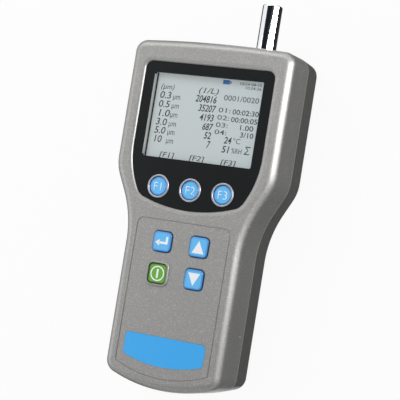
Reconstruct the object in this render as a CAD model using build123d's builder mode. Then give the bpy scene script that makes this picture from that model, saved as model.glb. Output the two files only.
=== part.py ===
"""Handheld airborne particle counter: silver clamshell casing, display head, keypad handle, air probe.

The counter lies on its back: +Z is the normal of the front face, +Y points to the air probe and +X to
the right of the display. The origin is under the middle of the whole instrument, on the rear face.
All sizes are in millimetres.
"""
from build123d import *
import math
import os

os.makedirs("parts", exist_ok=True)

# ------------------------------------------------------------------------------------------------
# Driving dimensions
# ------------------------------------------------------------------------------------------------

# Casing outline, seen from the front
body_length = 208.0
head_width = 105.0
handle_width = 76.2
top_bow = 1.8                 # how far the top edge rises at its middle
bottom_bow = 8.0              # how far the bottom edge drops at its middle
top_corner_radius = 7.8
bottom_corner_radius = 8.5
head_straight = 73.6          # straight side of the head, from the top edge
shoulder_radius = 26.0        # outward curve under the head
neck_radius = 64.0            # inward curve into the handle
shoulder_slope = 10.3         # straight stretch between the two curves

# Casing section
depth = 48.5
seam_height = 23.5            # middle of the seam between the covers
seam_gap = 0.6                # thickness of the seal in the seam
wall = 2.5
front_wall = 2.6
front_draft = 1.0
rear_draft = 2.5
front_edge_radius = 4.5
rear_edge_radius = 9.0
inner_front_radius = 2.0
inner_rear_radius = 4.5

# Clearances
fit_gap = 0.1                 # seated pieces that don't move
slide_gap = 0.2               # moving pieces
thread_gap = 0.02             # screw shanks in their pilot holes

# Air probe and its seal
probe_stand_out = 28.7
probe_inset = 29.0            # side of the head to the probe's axis
probe_drop = 0.05              # probe's axis, below mid depth
probe_radius = 6.25
probe_bore_radius = 4.25
probe_lip_radius = 0.9        # rounding of the mouth's edges
probe_shoulder_radius = 6.6
probe_flange_radius = 8.5
probe_flange_thickness = 2.0
probe_flange_setback = 8.0    # flange's inner face, below the top of the casing
probe_spigot_radius = 5.0
probe_spigot_length = 10.0
nozzle_radius = 1.5
nozzle_length = 3.0
seal_section_radius = 0.9

# Display panel
panel_side_margin = 10.4      # side of the head to the panel
panel_height = 86.9
panel_top_margin = 14.3       # top of the casing to the top of the panel
panel_straight = 50.6         # straight side of the panel, from its top edge
panel_side_radius = 54.4
panel_side_angle = 33.6
panel_top_corner = 4.5
panel_bottom_corner = 9.0
panel_setback = 1.0           # the panel's face, below the front face
panel_rim = 2.4               # sloping rim of the casing round the panel
panel_rim_drop = 0.3          # fall of the rim's wide, outer slope
panel_lip = 0.65              # the rim's narrow, inner slope
panel_lip_depth = 0.9         # foot of that slope, below the front face
bezel_flange = 2.0
bezel_flange_thickness = 1.7
window_side_margin = 6.4      # side of the panel to the window
window_height = 51.0
window_top_margin = 20.8      # top of the casing to the top of the window
window_corner = 1.0
window_lap = 1.5
window_thickness = 1.0
window_gap = 0.3              # between the window and the display glass

# Display and its circuit board
lcd_lap = 3.7                 # glass beyond the window opening
lcd_thickness = 1.8
lcd_frame_lip = 1.0
lcd_frame_thickness = 4.5
board_thickness = 1.6
board_margin = 2.0            # display frame to the end of the board's wide part
display_board_lap = 1.9       # beyond the panel's sides
display_board_top_margin = 13.5
display_board_waist_inset = 4.1
display_board_waist = 18.0
display_board_tail_inset = 11.1   # side of the handle to the board's tail
display_board_tail = 56.0
bezel_post_radius = 2.2
bezel_post_inset = 2.3        # from the panel flange's sides
bezel_post_setback = 4.5      # from the top of the display board
bezel_post_rise = 4.0         # above the end of the board's wide part
cover_post_radius = 2.4
cover_post_inset = 3.5        # from the sides of the board's tail
cover_post_rise = 2.5         # lower cover posts, above the end of the display board

# Function keys
function_key_margin = 88.9    # top of the casing to the function keys' row
function_key_pitch = 21.1
function_key_radius = 5.6
function_key_edge = 0.6
function_key_rise = 0.2       # the cap's face, above the panel
function_flange_radius = 7.0
function_flange_thickness = 0.7
ring_outer_radius = 7.0
ring_bore_radius = 5.9
ring_rise = 0.8               # the ring's rim, above the panel
ring_seat_depth = 0.9
ring_edge = 0.3

# Keypad
keypad_margin = 108.4         # top of the casing to the groove round the keypad
keypad_side_margin = 7.8      # side of the handle to the groove
keypad_foot = 7.4             # bottom of the casing to the groove
keypad_bow = 6.5
keypad_corner = 3.8
groove_width = 0.6
groove_depth = 0.4
key_size = 11.6
key_corner = 2.4
key_edge = 0.6
key_column_pitch = 24.0
key_row_pitch = 19.0
key_first_row = 12.7          # groove's top to the first row
key_rise = 0.8                # the caps' faces, above the front face
key_hole_gap = 0.4
key_hole_chamfer = 0.5
key_flange_lap = 1.0
key_flange_thickness = 1.2
key_stem_radius = 2.0
power_key_rise = 0.1
power_rim_width = 1.1
power_rim_rise = 0.9
key_travel = 1.0
stop_gap = 0.1                # between a pressed key and its switch
switch_size = 6.0
switch_plunger_radius = 1.6
switch_plunger_rise = 0.8

# Name plate
plate_side_margin = 11.9      # side of the handle to the plate
plate_margin = 31.5           # bottom of the casing to the plate's top edge
plate_foot = 14.2             # bottom of the casing to the plate's lowest point
plate_bow = 4.5
plate_corner = 2.5
plate_thickness = 0.4
plate_recess = 0.35

# Dimples in the sides of the front cover
dimple_radius = 1.25
dimple_depth = 0.6
dimple_margin = 39.2          # bottom of the casing to the dimples
dimple_height = 28.7

# Screws and their bosses
cover_screw_radius = 1.5
cover_screw_length = 22.0
cover_screw_seat = 8.0        # depth of the counterbores in the rear cover
counterbore_radius = 3.2
boss_radius = 3.5
top_boss_inset = 9.0          # from the side of the head
top_boss_margin = 9.3
neck_boss_inset = 4.6         # from the side of the handle
neck_boss_margin = 106.5
foot_boss_inset = 8.1
foot_boss_margin = 13.5
small_screw_radius = 1.0
small_screw_length = 5.0
board_screw_radius = 1.25
board_screw_length = 5.0
bracket_screw_length = 10.0
screw_head_height = 1.6
screw_head_ratio = 1.8        # head radius over shank radius
pilot_gap = 1.0               # pilot holes, beyond the screws' ends

# Battery, bay and door
battery_width = 38.0
battery_length = 67.0
battery_height = 18.8
battery_edge = 0.8
battery_gap = 0.5
battery_foot = 14.5           # bottom of the casing to the bay
contact_space = 3.0
contact_width = 8.0
contact_height = 9.0
contact_pitch = 20.0
contact_thickness = 0.4
bay_wall = 1.5
bay_roof = 1.5
bay_floor = 1.5
bay_floor_inset = 5.5         # thick floor behind the door, inside the casing's outline
door_width = 48.0
door_thickness = 2.0
door_margin = 5.0             # door beyond the bay's upper end
door_corner = 3.0
door_travel = 8.0
hook_width = 1.6
hook_stem = 3.0
hook_lip = 6.0
hook_lip_thickness = 1.2
hook_offset = 1.2             # hooks' outer side, inside the door's edge
hook_spacing = 40.0
grip_grooves = 4
grip_pitch = 2.4
grip_width = 1.2
grip_depth = 0.6
grip_length = 24.0
grip_margin = 12.0

# Main circuit board and what it carries
main_board_inset = 9.1        # side of the handle to the board
main_board_top_margin = 82.5
main_board_foot = 19.5
board_tongue_width = 36.0
board_tongue_foot = 8.0
board_standoff = 3.1
standoff_radius = 2.5
standoff_x = 16.0
standoff_inset = 3.5
long_post_inset = 5.0         # from the board's sides
long_post_setback = 7.5       # from its top
connector_length = 30.0
connector_width = 5.0
connector_margin = 102.5
usb_x = -10.0
usb_width = 7.7
usb_height = 3.9
usb_length = 9.5
usb_shell = 0.5
usb_mouth = 6.0
jack_x = 10.0
jack_width = 9.0
jack_height = 11.0
jack_length = 11.5
jack_bore_radius = 2.8
jack_bore_depth = 9.0
jack_pin_radius = 1.0
jack_corner = 0.6
jack_nose = 2.5               # round mouth, in front of the square housing
jack_nose_lap = 1.0
port_setback = 2.0            # ports' mouths, inside the casing's lowest point
port_gap = 0.4
buzzer_radius = 6.0
buzzer_height = 6.5
buzzer_edge = 0.6
buzzer_hole_radius = 1.0
buzzer_spot = (-20.0, 10.0)   # across, and below the end of the display board
coin_cell_radius = 10.0
coin_cell_height = 3.4
coin_cell_spot = (17.0, 14.0)
processor_spot = (-4.0, 11.0)
processor_size = (14.0, 14.0, 1.6)
charger_spot = (-18.0, 10.0)   # across, and above the lower standoffs
charger_size = (8.0, 8.0, 4.0)
serial_spot = (6.0, 27.5)
serial_size = (9.0, 6.5, 2.3)
driver_spot = (11.0, -10.0)
driver_size = (10.0, 10.0, 1.4)

# Optical sensor
block_width = 32.0
block_length = 34.0
block_clearance = 1.8         # to the display board above
block_top_margin = 10.5
chamber_radius = 4.0
outlet_radius = 2.5
outlet_bore_radius = 1.4
outlet_length = 6.0
block_edge = 1.0
ear_radius = 3.5
ear_thickness = 3.0
ear_offset = 3.0
ear_inset = 8.0
ear_hole_radius = 1.6
laser_radius = 4.5
laser_gap = 1.0               # to the pump's motor
laser_seat = 4.5
laser_edge = 0.4
laser_cap_radius = 3.4
laser_cap_length = 4.0
trap_flange_radius = 6.0
trap_flange_thickness = 2.0
trap_length = 10.0
trap_wall = 1.0
trap_end = 1.5
trap_taper = 18.0             # half angle of the hollow that swallows the beam
mirror_radius = 7.0
mirror_thickness = 2.6
mirror_pocket = 3.0
mirror_hollow = 1.56
mirror_curve_radius = 16.0
detector_radius = 3.9
detector_height = 4.0
detector_edge = 0.5
detector_board_size = 18.0

# Pump, hoses and exhaust filter
pump_inset = 23.5             # side of the head to the pump's axis
pump_z = 17.0
pump_margin = 52.5            # top of the casing to the pump head
pump_head_width = 26.0
pump_head_length = 28.0
pump_head_height = 24.0
pump_head_corner = 2.0
pump_port_inset = 6.0
pump_motor_radius = 11.5
pump_motor_length = 28.0
pump_motor_edge = 1.5
port_length = 6.0
hose_radius = 3.0
hose_bore_radius = 2.6
hose_bend_radius = 8.0
cradle_length = 14.0
cradle_side = 2.5
clamp_thickness = 0.8
clamp_width = 10.0
clamp_screw_inset = 2.2
filter_radius = 8.0
filter_length = 28.0
filter_step = 2.5
filter_gap = 8.0              # between the pump's port and the filter's port

# Rear face
vent_inset = 21.5             # side of the head to the middle of the vent
vent_margin = 72.5
vent_slots = 6
vent_pitch = 3.2
vent_slot_width = 1.6
vent_slot_length = 16.0
insert_margin = 54.5
insert_radius = 4.2
insert_hole_radius = 2.6
insert_length = 9.0
insert_end = 1.0
insert_boss_radius = 6.2
insert_boss_height = 10.0
humidity_inset = 13.5
humidity_margin = 57.0
humidity_width = 9.0
humidity_length = 12.0
humidity_board = 1.2
humidity_chip = 3.0
humidity_chip_height = 1.2

# ------------------------------------------------------------------------------------------------
# Levels and stations that follow from them
# ------------------------------------------------------------------------------------------------

body_bottom = -(body_length + probe_stand_out) / 2
body_top = body_bottom + body_length
probe_tip = body_top + probe_stand_out
probe_z = depth / 2 - probe_drop
head_half = head_width / 2
handle_half = handle_width / 2
panel_width = head_width - 2 * panel_side_margin
window_width = panel_width - 2 * window_side_margin
keypad_width = handle_width - 2 * keypad_side_margin
plate_width = handle_width - 2 * plate_side_margin

seam_bottom = seam_height - seam_gap / 2
seam_top = seam_height + seam_gap / 2
front_inside = depth - front_wall

panel_top = body_top - panel_top_margin
panel_face = depth - panel_setback
bezel_back = front_inside - bezel_flange_thickness
window_y = body_top - window_top_margin - window_height / 2
lcd_back = bezel_back - window_gap - lcd_thickness
display_board_face = lcd_back - lcd_frame_thickness
display_board_back = display_board_face - board_thickness
display_board_top = body_top - display_board_top_margin
display_board_width = panel_width + 2 * display_board_lap
display_board_waist_width = handle_width - 2 * display_board_waist_inset
display_board_tail_width = handle_width - 2 * display_board_tail_inset
function_row = body_top - function_key_margin
keypad_top = body_top - keypad_margin
key_rows = (keypad_top - key_first_row, keypad_top - key_first_row - key_row_pitch)
key_column = key_column_pitch / 2
function_flange_face = bezel_back - slide_gap
key_flange_face = front_inside - slide_gap
switch_top = function_flange_face - function_flange_thickness - key_travel - stop_gap

waist_y = window_y - window_height / 2 - lcd_lap - lcd_frame_lip - board_margin
tail_y = waist_y - display_board_waist
display_board_end = tail_y - display_board_tail
bezel_posts = [(side * (panel_width / 2 + bezel_flange - bezel_post_inset), y)
               for side in (-1, 1)
               for y in (display_board_top - bezel_post_setback, waist_y + bezel_post_rise)]
cover_post_x = display_board_tail_width / 2 - cover_post_inset
cover_posts = [(side * cover_post_x, display_board_end + cover_post_rise) for side in (-1, 1)]

cover_screws_at = [(side * x, y)
                   for side in (-1, 1)
                   for x, y in ((head_half - top_boss_inset, body_top - top_boss_margin),
                                (handle_half - neck_boss_inset, body_top - neck_boss_margin),
                                (handle_half - foot_boss_inset, body_bottom + foot_boss_margin))]

bay_bottom = body_bottom + battery_foot
bay_top = bay_bottom + battery_length + contact_space + battery_gap
bay_half = battery_width / 2 + battery_gap
bay_ceiling = door_thickness + bay_floor + battery_height + battery_gap
bay_lid = bay_ceiling + bay_roof
door_top = bay_top + door_margin
door_half = door_width / 2
hook_x = door_half - hook_offset - hook_width / 2
hook_stations = [(side * hook_x, bay_bottom + battery_length / 2 + end * hook_spacing / 2)
                 for side in (-1, 1) for end in (-1, 1)]

main_board_back = bay_lid + board_standoff
main_board_face = main_board_back + board_thickness
main_board_top = body_top - main_board_top_margin
main_board_end = body_bottom + main_board_foot
standoffs = [(side * standoff_x, y)
             for side in (-1, 1) for y in (bay_bottom + standoff_inset, bay_top - standoff_inset)]
main_board_width = handle_width - 2 * main_board_inset
long_post_x = main_board_width / 2 - long_post_inset
long_posts = [(side * long_post_x, main_board_top - long_post_setback) for side in (-1, 1)]
port_mouth = body_bottom + port_setback
buzzer_place, coin_cell_place, processor_place, serial_place, driver_place = [
    (x, display_board_end - y)
    for x, y in (buzzer_spot, coin_cell_spot, processor_spot, serial_spot, driver_spot)]
charger_place = (charger_spot[0], bay_bottom + standoff_inset + charger_spot[1])
chips = [(*place, *size)
         for place, size in ((processor_place, processor_size), (charger_place, charger_size),
                             (serial_place, serial_size), (driver_place, driver_size))]

probe_x = head_half - probe_inset
block_top = body_top - block_top_margin
block_bottom = block_top - block_length
block_y = block_top - block_length / 2
block_height = 2 * (display_board_back - block_clearance - probe_z)
block_floor = probe_z - block_height / 2
block_right = probe_x + block_width / 2
block_left = probe_x - block_width / 2
ears = [(probe_x + side * (block_width / 2 + ear_offset), y)
        for side in (-1, 1) for y in (block_bottom + ear_inset, block_top - ear_inset)]

pump_x = pump_inset - head_half
pump_head_top = body_top - pump_margin
pump_head_bottom = pump_head_top - pump_head_length
pump_inlet_y = pump_head_top - pump_port_inset
pump_outlet_y = pump_head_bottom + pump_port_inset
pump_face_x = pump_x + pump_head_width / 2
cradle_y = pump_head_top + pump_motor_length / 2
cradle_half = pump_motor_radius + cradle_side
clamp_half = cradle_half + 2 * clamp_screw_inset
clamp_holes = [(pump_x + side * (cradle_half + clamp_screw_inset - cradle_side / 2), cradle_y)
               for side in (-1, 1)]
filter_start = pump_face_x + 2 * port_length + filter_gap


# ------------------------------------------------------------------------------------------------
# Outlines
# ------------------------------------------------------------------------------------------------

def corners_at(sketch, half, y):
    """The sketch's two corners at (-half, y) and (half, y)."""
    return sketch.vertices().filter_by(lambda v: abs(abs(v.X) - half) < 1e-4 and abs(v.Y - y) < 1e-4)


def casing_outline(inset):
    """Front view of the casing, drawn in by inset."""
    both_radii = shoulder_radius + neck_radius
    step = head_half - handle_half
    lean = math.acos((both_radii - step) / math.hypot(both_radii, shoulder_slope))
    turn = math.degrees(lean - math.atan2(shoulder_slope, both_radii))
    crown = body_top - top_bow
    foot = body_bottom + bottom_bow
    with BuildSketch() as outline:
        with BuildLine():
            ThreePointArc((-head_half, crown), (0, body_top), (head_half, crown))
            ThreePointArc((-handle_half, foot), (0, body_bottom), (handle_half, foot))
            head_side = Line((head_half, crown), (head_half, body_top - head_straight))
            shoulder = JernArc(head_side @ 1, (0, -1), shoulder_radius, -turn)
            slope = Line(shoulder @ 1, shoulder @ 1 + (shoulder % 1) * shoulder_slope)
            neck = JernArc(slope @ 1, slope % 1, neck_radius, turn)
            handle_side = Line(neck @ 1, (handle_half, foot))
            mirror([head_side, shoulder, slope, neck, handle_side], about=Plane.YZ)
        make_face()
        fillet(corners_at(outline, head_half, crown), top_corner_radius)
        fillet(corners_at(outline, handle_half, foot), bottom_corner_radius)
        if inset > 0:
            offset(amount=-inset)
    return outline.sketch


def panel_outline(grow):
    """The bowl-shaped display panel, grown by grow."""
    half = panel_width / 2
    with BuildSketch() as outline:
        with BuildLine():
            Line((-half, panel_top), (half, panel_top))
            straight = Line((half, panel_top), (half, panel_top - panel_straight))
            side = JernArc(straight @ 1, (0, -1), panel_side_radius, -panel_side_angle)
            mirror([straight, side], about=Plane.YZ)
            end = side @ 1
            ThreePointArc((-end.X, end.Y), (0, panel_top - panel_height), (end.X, end.Y))
        make_face()
        fillet(corners_at(outline, half, panel_top), panel_top_corner)
        fillet(corners_at(outline, end.X, end.Y), panel_bottom_corner)
        if grow:
            offset(amount=grow)
    return outline.sketch


def bowed_outline(width, top, bottom, bow, top_corner, bottom_corner, grow):
    """A plate with a straight top edge and a bottom edge that drops by bow at its middle."""
    half = width / 2
    with BuildSketch() as outline:
        with BuildLine():
            Line((-half, top), (half, top))
            right = Line((half, top), (half, bottom + bow))
            ThreePointArc((-half, bottom + bow), (0, bottom), (half, bottom + bow))
            mirror(right, about=Plane.YZ)
        make_face()
        fillet(corners_at(outline, half, top), top_corner)
        fillet(corners_at(outline, half, bottom + bow), bottom_corner)
        if grow:
            offset(amount=grow)
    return outline.sketch


def keypad_outline(grow):
    """The keypad's outline, followed by the groove."""
    return bowed_outline(keypad_width, keypad_top, body_bottom + keypad_foot, keypad_bow,
                         keypad_corner, groove_width, grow)


def plate_outline(grow):
    """The name plate's outline."""
    return bowed_outline(plate_width, body_bottom + plate_margin, body_bottom + plate_foot, plate_bow,
                         plate_corner, plate_corner, grow)


def display_board_outline():
    """The display board: wide behind the display, narrow in the handle."""
    with BuildSketch() as outline:
        for width, low, high in ((display_board_width, waist_y, display_board_top),
                                 (display_board_waist_width, tail_y, waist_y),
                                 (display_board_tail_width, display_board_end, tail_y)):
            with Locations((0, (low + high) / 2)):
                Rectangle(width, high - low)
    return outline.sketch


def drafted_blank(face_z, seam_z, inset, draft):
    """A block of the casing's outline that widens from face_z to the seam."""
    height = seam_z - face_z
    narrowing = abs(height) * math.tan(math.radians(draft))
    with BuildPart() as blank:
        if height < 0:
            with BuildSketch(Plane.XY.offset(face_z)):
                add(casing_outline(inset + narrowing))
            extrude(amount=height, taper=-draft)
        else:
            with BuildSketch(Plane.XY.offset(seam_z)):
                add(casing_outline(inset))
            extrude(amount=-height, taper=draft)
    return blank.part


def rear_body():
    """The rear half of the casing as a solid block with its rounded edge."""
    with BuildPart() as body:
        add(drafted_blank(0, seam_bottom, 0, rear_draft))
        fillet(body.faces().sort_by(Axis.Z)[0].edges(), rear_edge_radius)
    return body.part


def rear_cavity():
    """The space inside the rear half of the casing."""
    with BuildPart() as cavity:
        add(drafted_blank(wall, seam_bottom, wall, rear_draft))
        fillet(cavity.faces().sort_by(Axis.Z)[0].edges(), inner_rear_radius)
    return cavity.part


def upright(points, radius, low, high, mode=Mode.ADD):
    """Round posts or holes along Z, between two levels."""
    with Locations(*[(x, y, low) for x, y in points]):
        Cylinder(radius, high - low, align=(Align.CENTER, Align.CENTER, Align.MIN), mode=mode)


def along_x(x, y, z):
    """A plane at (x, y, z) whose normal is +X."""
    return Plane(origin=(x, y, z), x_dir=(0, 1, 0), z_dir=(1, 0, 0))


def along_y(x, y, z):
    """A plane at (x, y, z) whose normal is +Y."""
    return Plane(origin=(x, y, z), x_dir=(1, 0, 0), z_dir=(0, 1, 0))


def export_node(part, name):
    """Label a finished piece and write its STEP file."""
    part.label = name
    export_step(part, f"parts/{name}.step")


# ------------------------------------------------------------------------------------------------
# Front cover: moulded shell with the panel opening, key holes, groove, plate recess and bosses
# ------------------------------------------------------------------------------------------------

key_places = {"key_enter": (-key_column, key_rows[0]), "key_up": (key_column, key_rows[0]),
              "key_power": (-key_column, key_rows[1]), "key_down": (key_column, key_rows[1])}
function_places = {f"key_f{i + 1}": ((i - 1) * function_key_pitch, function_row) for i in range(3)}
key_hole = key_size + 2 * key_hole_gap
key_hole_corner = key_corner + key_hole_gap

with BuildPart() as front_cover:
    add(drafted_blank(depth, seam_top, 0, front_draft))
    add(drafted_blank(front_inside, seam_top, wall, front_draft), mode=Mode.SUBTRACT)
    ceiling = front_cover.faces().filter_by(Axis.Z).sort_by(Axis.Z)[-2]
    fillet(ceiling.edges(), inner_front_radius)
    fillet(front_cover.faces().sort_by(Axis.Z)[-1].edges(), front_edge_radius)
    # screw bosses down to the rear cover, and two posts for the display board's tail
    upright(cover_screws_at, boss_radius, seam_bottom, front_inside)
    upright(cover_screws_at, cover_screw_radius + thread_gap, seam_bottom,
            cover_screw_seat + cover_screw_length + pilot_gap, Mode.SUBTRACT)
    upright(cover_posts, cover_post_radius, display_board_face, front_inside)
    upright(cover_posts, small_screw_radius + thread_gap, display_board_face,
            display_board_face + small_screw_length, Mode.SUBTRACT)
    # panel opening with its sloping rim
    with BuildSketch(Plane.XY.offset(front_inside)):
        add(panel_outline(fit_gap))
    extrude(amount=front_wall, mode=Mode.SUBTRACT)
    rim_levels = [(depth, panel_rim), (depth - panel_rim_drop, panel_lip), (depth - panel_lip_depth, fit_gap)]
    for upper, lower in zip(rim_levels, rim_levels[1:]):
        for level, grow in (upper, lower):
            with BuildSketch(Plane.XY.offset(level)):
                add(panel_outline(grow))
        loft(mode=Mode.SUBTRACT)
    # raised rim round the power key
    with BuildSketch(Plane.XY.offset(depth)):
        with Locations(key_places["key_power"]):
            RectangleRounded(key_hole + 2 * power_rim_width, key_hole + 2 * power_rim_width,
                             key_hole_corner + power_rim_width)
    rim = extrude(amount=power_rim_rise)
    fillet(rim.faces().sort_by(Axis.Z)[-1].edges(), power_rim_width / 2)
    # key holes
    with BuildSketch(Plane.XY.offset(front_inside)):
        with Locations(*key_places.values()):
            RectangleRounded(key_hole, key_hole, key_hole_corner)
    extrude(amount=front_wall + power_rim_rise, mode=Mode.SUBTRACT)
    plain_holes = [place for name, place in key_places.items() if name != "key_power"]
    with BuildSketch(Plane.XY.offset(depth)):
        with Locations(*plain_holes):
            RectangleRounded(key_hole + 2 * key_hole_chamfer, key_hole + 2 * key_hole_chamfer,
                             key_hole_corner + key_hole_chamfer)
    extrude(amount=-key_hole_chamfer, taper=45, mode=Mode.SUBTRACT)
    # groove round the keypad and recess for the name plate
    with BuildSketch(Plane.XY.offset(depth)):
        add(keypad_outline(groove_width / 2))
        add(keypad_outline(-groove_width / 2), mode=Mode.SUBTRACT)
    extrude(amount=-groove_depth, mode=Mode.SUBTRACT)
    with BuildSketch(Plane.XY.offset(depth)):
        add(plate_outline(fit_gap))
    extrude(amount=-plate_recess, mode=Mode.SUBTRACT)
    # probe hole, port openings and side dimples
    with BuildSketch(along_y(probe_x, body_top - 2 * wall, probe_z)):
        Circle(probe_shoulder_radius + fit_gap)
    extrude(amount=2 * wall, mode=Mode.SUBTRACT)
    with BuildSketch(along_y(usb_x, body_bottom, main_board_face + usb_height / 2)):
        RectangleRounded(usb_width + 2 * port_gap, usb_height + 2 * port_gap, port_gap)
    extrude(amount=2 * wall, mode=Mode.SUBTRACT)
    with BuildSketch(along_y(jack_x, body_bottom, main_board_face + jack_height / 2)):
        Circle(jack_width / 2 + port_gap)
    extrude(amount=2 * wall, mode=Mode.SUBTRACT)
    for side in (-1, 1):
        with BuildSketch(along_x(side * handle_half, body_bottom + dimple_margin, dimple_height)):
            Circle(dimple_radius)
        extrude(amount=-side * dimple_depth, mode=Mode.SUBTRACT)

# ------------------------------------------------------------------------------------------------
# Rear cover: moulded shell with the battery bay, screw tubes, sensor posts, vent and tripod boss
# ------------------------------------------------------------------------------------------------

# round the counterbores the tubes are thicker, and the casing's rounded edge trims them
with BuildPart() as screw_tubes:
    upright(cover_screws_at, boss_radius, wall / 2, seam_bottom)
    upright(cover_screws_at, counterbore_radius + bay_wall, wall / 2, cover_screw_seat + bay_wall)
    add(rear_body(), mode=Mode.INTERSECT)

with BuildPart() as rear_cover:
    add(rear_body())
    add(rear_cavity(), mode=Mode.SUBTRACT)
    add(screw_tubes.part)
    # thicker floor behind the door, and the battery bay
    with BuildSketch(Plane.XY.offset(door_thickness)):
        add(casing_outline(bay_floor_inset))
        with Locations((0, (body_bottom + door_top + bay_wall) / 2)):
            Rectangle(door_width + 2 * bay_wall, door_top + bay_wall - body_bottom, mode=Mode.INTERSECT)
    extrude(amount=bay_floor)
    with BuildSketch(Plane.XY.offset(door_thickness)):
        with Locations((0, (bay_bottom + bay_top) / 2)):
            Rectangle(2 * (bay_half + bay_wall), bay_top - bay_bottom + 2 * bay_wall)
    extrude(amount=bay_lid - door_thickness)
    with BuildSketch(Plane.XY):
        with Locations((0, (bay_bottom + bay_top) / 2)):
            Rectangle(2 * bay_half, bay_top - bay_bottom)
    extrude(amount=bay_ceiling, mode=Mode.SUBTRACT)
    with BuildSketch(Plane.XY):
        with Locations((0, door_top - body_length)):
            RectangleRounded(door_width + 2 * slide_gap, 2 * (body_length + slide_gap),
                             door_corner + slide_gap)
    extrude(amount=door_thickness, mode=Mode.SUBTRACT)
    slot_length = hook_stem + door_travel + 2 * slide_gap
    with BuildSketch(Plane.XY.offset(door_thickness)):
        for x, y in hook_stations:
            with Locations((x, y - door_travel / 2)):
                Rectangle(hook_width + 2 * slide_gap, slot_length)
    extrude(amount=bay_floor, mode=Mode.SUBTRACT)
    upright(cover_screws_at, counterbore_radius, 0, cover_screw_seat, Mode.SUBTRACT)
    upright(cover_screws_at, cover_screw_radius + fit_gap, 0, seam_bottom, Mode.SUBTRACT)
    # posts for the optical sensor, the pump clamp and the main board
    upright(ears, ear_radius, wall / 2, block_floor)
    upright(ears, board_screw_radius + thread_gap,
            block_floor + ear_thickness - bracket_screw_length - pilot_gap, block_floor, Mode.SUBTRACT)
    upright(long_posts, standoff_radius, wall / 2, main_board_back)
    upright(standoffs, standoff_radius, bay_lid, main_board_back)
    upright(long_posts + standoffs, board_screw_radius + thread_gap, main_board_face - board_screw_length,
            main_board_back, Mode.SUBTRACT)
    upright(clamp_holes, clamp_screw_inset, wall / 2, pump_z)
    upright(clamp_holes, board_screw_radius + thread_gap,
            pump_z + clamp_thickness - bracket_screw_length - pilot_gap, pump_z, Mode.SUBTRACT)
    # tripod boss
    upright([(0, body_top - insert_margin)], insert_boss_radius, wall / 2, insert_boss_height)
    upright([(0, body_top - insert_margin)], insert_radius, 0, insert_length, Mode.SUBTRACT)
    # vent slots
    with BuildSketch(Plane.XY):
        with Locations((head_half - vent_inset, body_top - vent_margin)):
            with GridLocations(vent_pitch, 0, vent_slots, 1):
                SlotOverall(vent_slot_length, vent_slot_width, rotation=90)
    extrude(amount=wall, mode=Mode.SUBTRACT)
    # probe hole
    with BuildSketch(along_y(probe_x, body_top - 2 * wall, probe_z)):
        Circle(probe_shoulder_radius + fit_gap)
    extrude(amount=2 * wall, mode=Mode.SUBTRACT)

# Seal in the seam, flush with both covers
with BuildPart() as cover_gasket:
    with BuildSketch(Plane.XY.offset(seam_bottom)):
        add(casing_outline(0))
        add(casing_outline(wall), mode=Mode.SUBTRACT)
    extrude(amount=seam_gap)
    upright(cover_screws_at, boss_radius + fit_gap, seam_bottom, seam_top, Mode.SUBTRACT)
    with BuildSketch(along_y(probe_x, body_top - 2 * wall, probe_z)):
        Circle(probe_shoulder_radius + fit_gap)
    extrude(amount=2 * wall, mode=Mode.SUBTRACT)

# ------------------------------------------------------------------------------------------------
# Display: panel moulding, window, glass, frame and board
# ------------------------------------------------------------------------------------------------

with BuildPart() as display_bezel:
    with BuildSketch(Plane.XY.offset(bezel_back)):
        add(panel_outline(bezel_flange))
    extrude(amount=bezel_flange_thickness)
    with BuildSketch(Plane.XY.offset(front_inside)):
        add(panel_outline(0))
    extrude(amount=panel_face - front_inside)
    upright(bezel_posts, bezel_post_radius, display_board_face, bezel_back)
    upright(bezel_posts, small_screw_radius + thread_gap, display_board_face,
            display_board_face + small_screw_length, Mode.SUBTRACT)
    with BuildSketch(Plane.XY.offset(bezel_back)):
        with Locations((0, window_y)):
            RectangleRounded(window_width, window_height, window_corner)
        with Locations(*function_places.values()):
            Circle(ring_bore_radius)
    extrude(amount=panel_face - bezel_back, mode=Mode.SUBTRACT)
    with BuildSketch(Plane.XY.offset(bezel_back)):
        with Locations((0, window_y)):
            Rectangle(window_width + 2 * window_lap, window_height + 2 * window_lap)
    extrude(amount=window_thickness, mode=Mode.SUBTRACT)
    with BuildSketch(Plane.XY.offset(panel_face)):
        with Locations(*function_places.values()):
            Circle(ring_outer_radius + thread_gap)
    extrude(amount=-ring_seat_depth, mode=Mode.SUBTRACT)

with BuildPart() as display_window:
    with BuildSketch(Plane.XY.offset(bezel_back)):
        with Locations((0, window_y)):
            Rectangle(window_width + 2 * (window_lap - fit_gap), window_height + 2 * (window_lap - fit_gap))
    extrude(amount=window_thickness)

with BuildPart() as lcd_panel:
    with BuildSketch(Plane.XY.offset(lcd_back)):
        with Locations((0, window_y)):
            Rectangle(window_width + 2 * lcd_lap - 2 * lcd_frame_lip, window_height + 2 * lcd_lap)
    extrude(amount=lcd_thickness)

with BuildPart() as lcd_frame:
    with BuildSketch(Plane.XY.offset(display_board_face)):
        with Locations((0, window_y)):
            RectangleRounded(window_width + 2 * lcd_lap, window_height + 2 * (lcd_lap + lcd_frame_lip),
                             lcd_frame_lip)
    extrude(amount=lcd_frame_thickness)
    with BuildSketch(Plane.XY.offset(display_board_face)):
        with Locations((0, window_y)):
            RectangleRounded(window_width, window_height, lcd_frame_lip)
    extrude(amount=lcd_frame_thickness / 2, mode=Mode.SUBTRACT)

with BuildPart() as display_board:
    with BuildSketch(Plane.XY.offset(display_board_back)):
        add(display_board_outline())
        with Locations(*(bezel_posts + cover_posts)):
            Circle(small_screw_radius + fit_gap, mode=Mode.SUBTRACT)
    extrude(amount=board_thickness)

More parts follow.
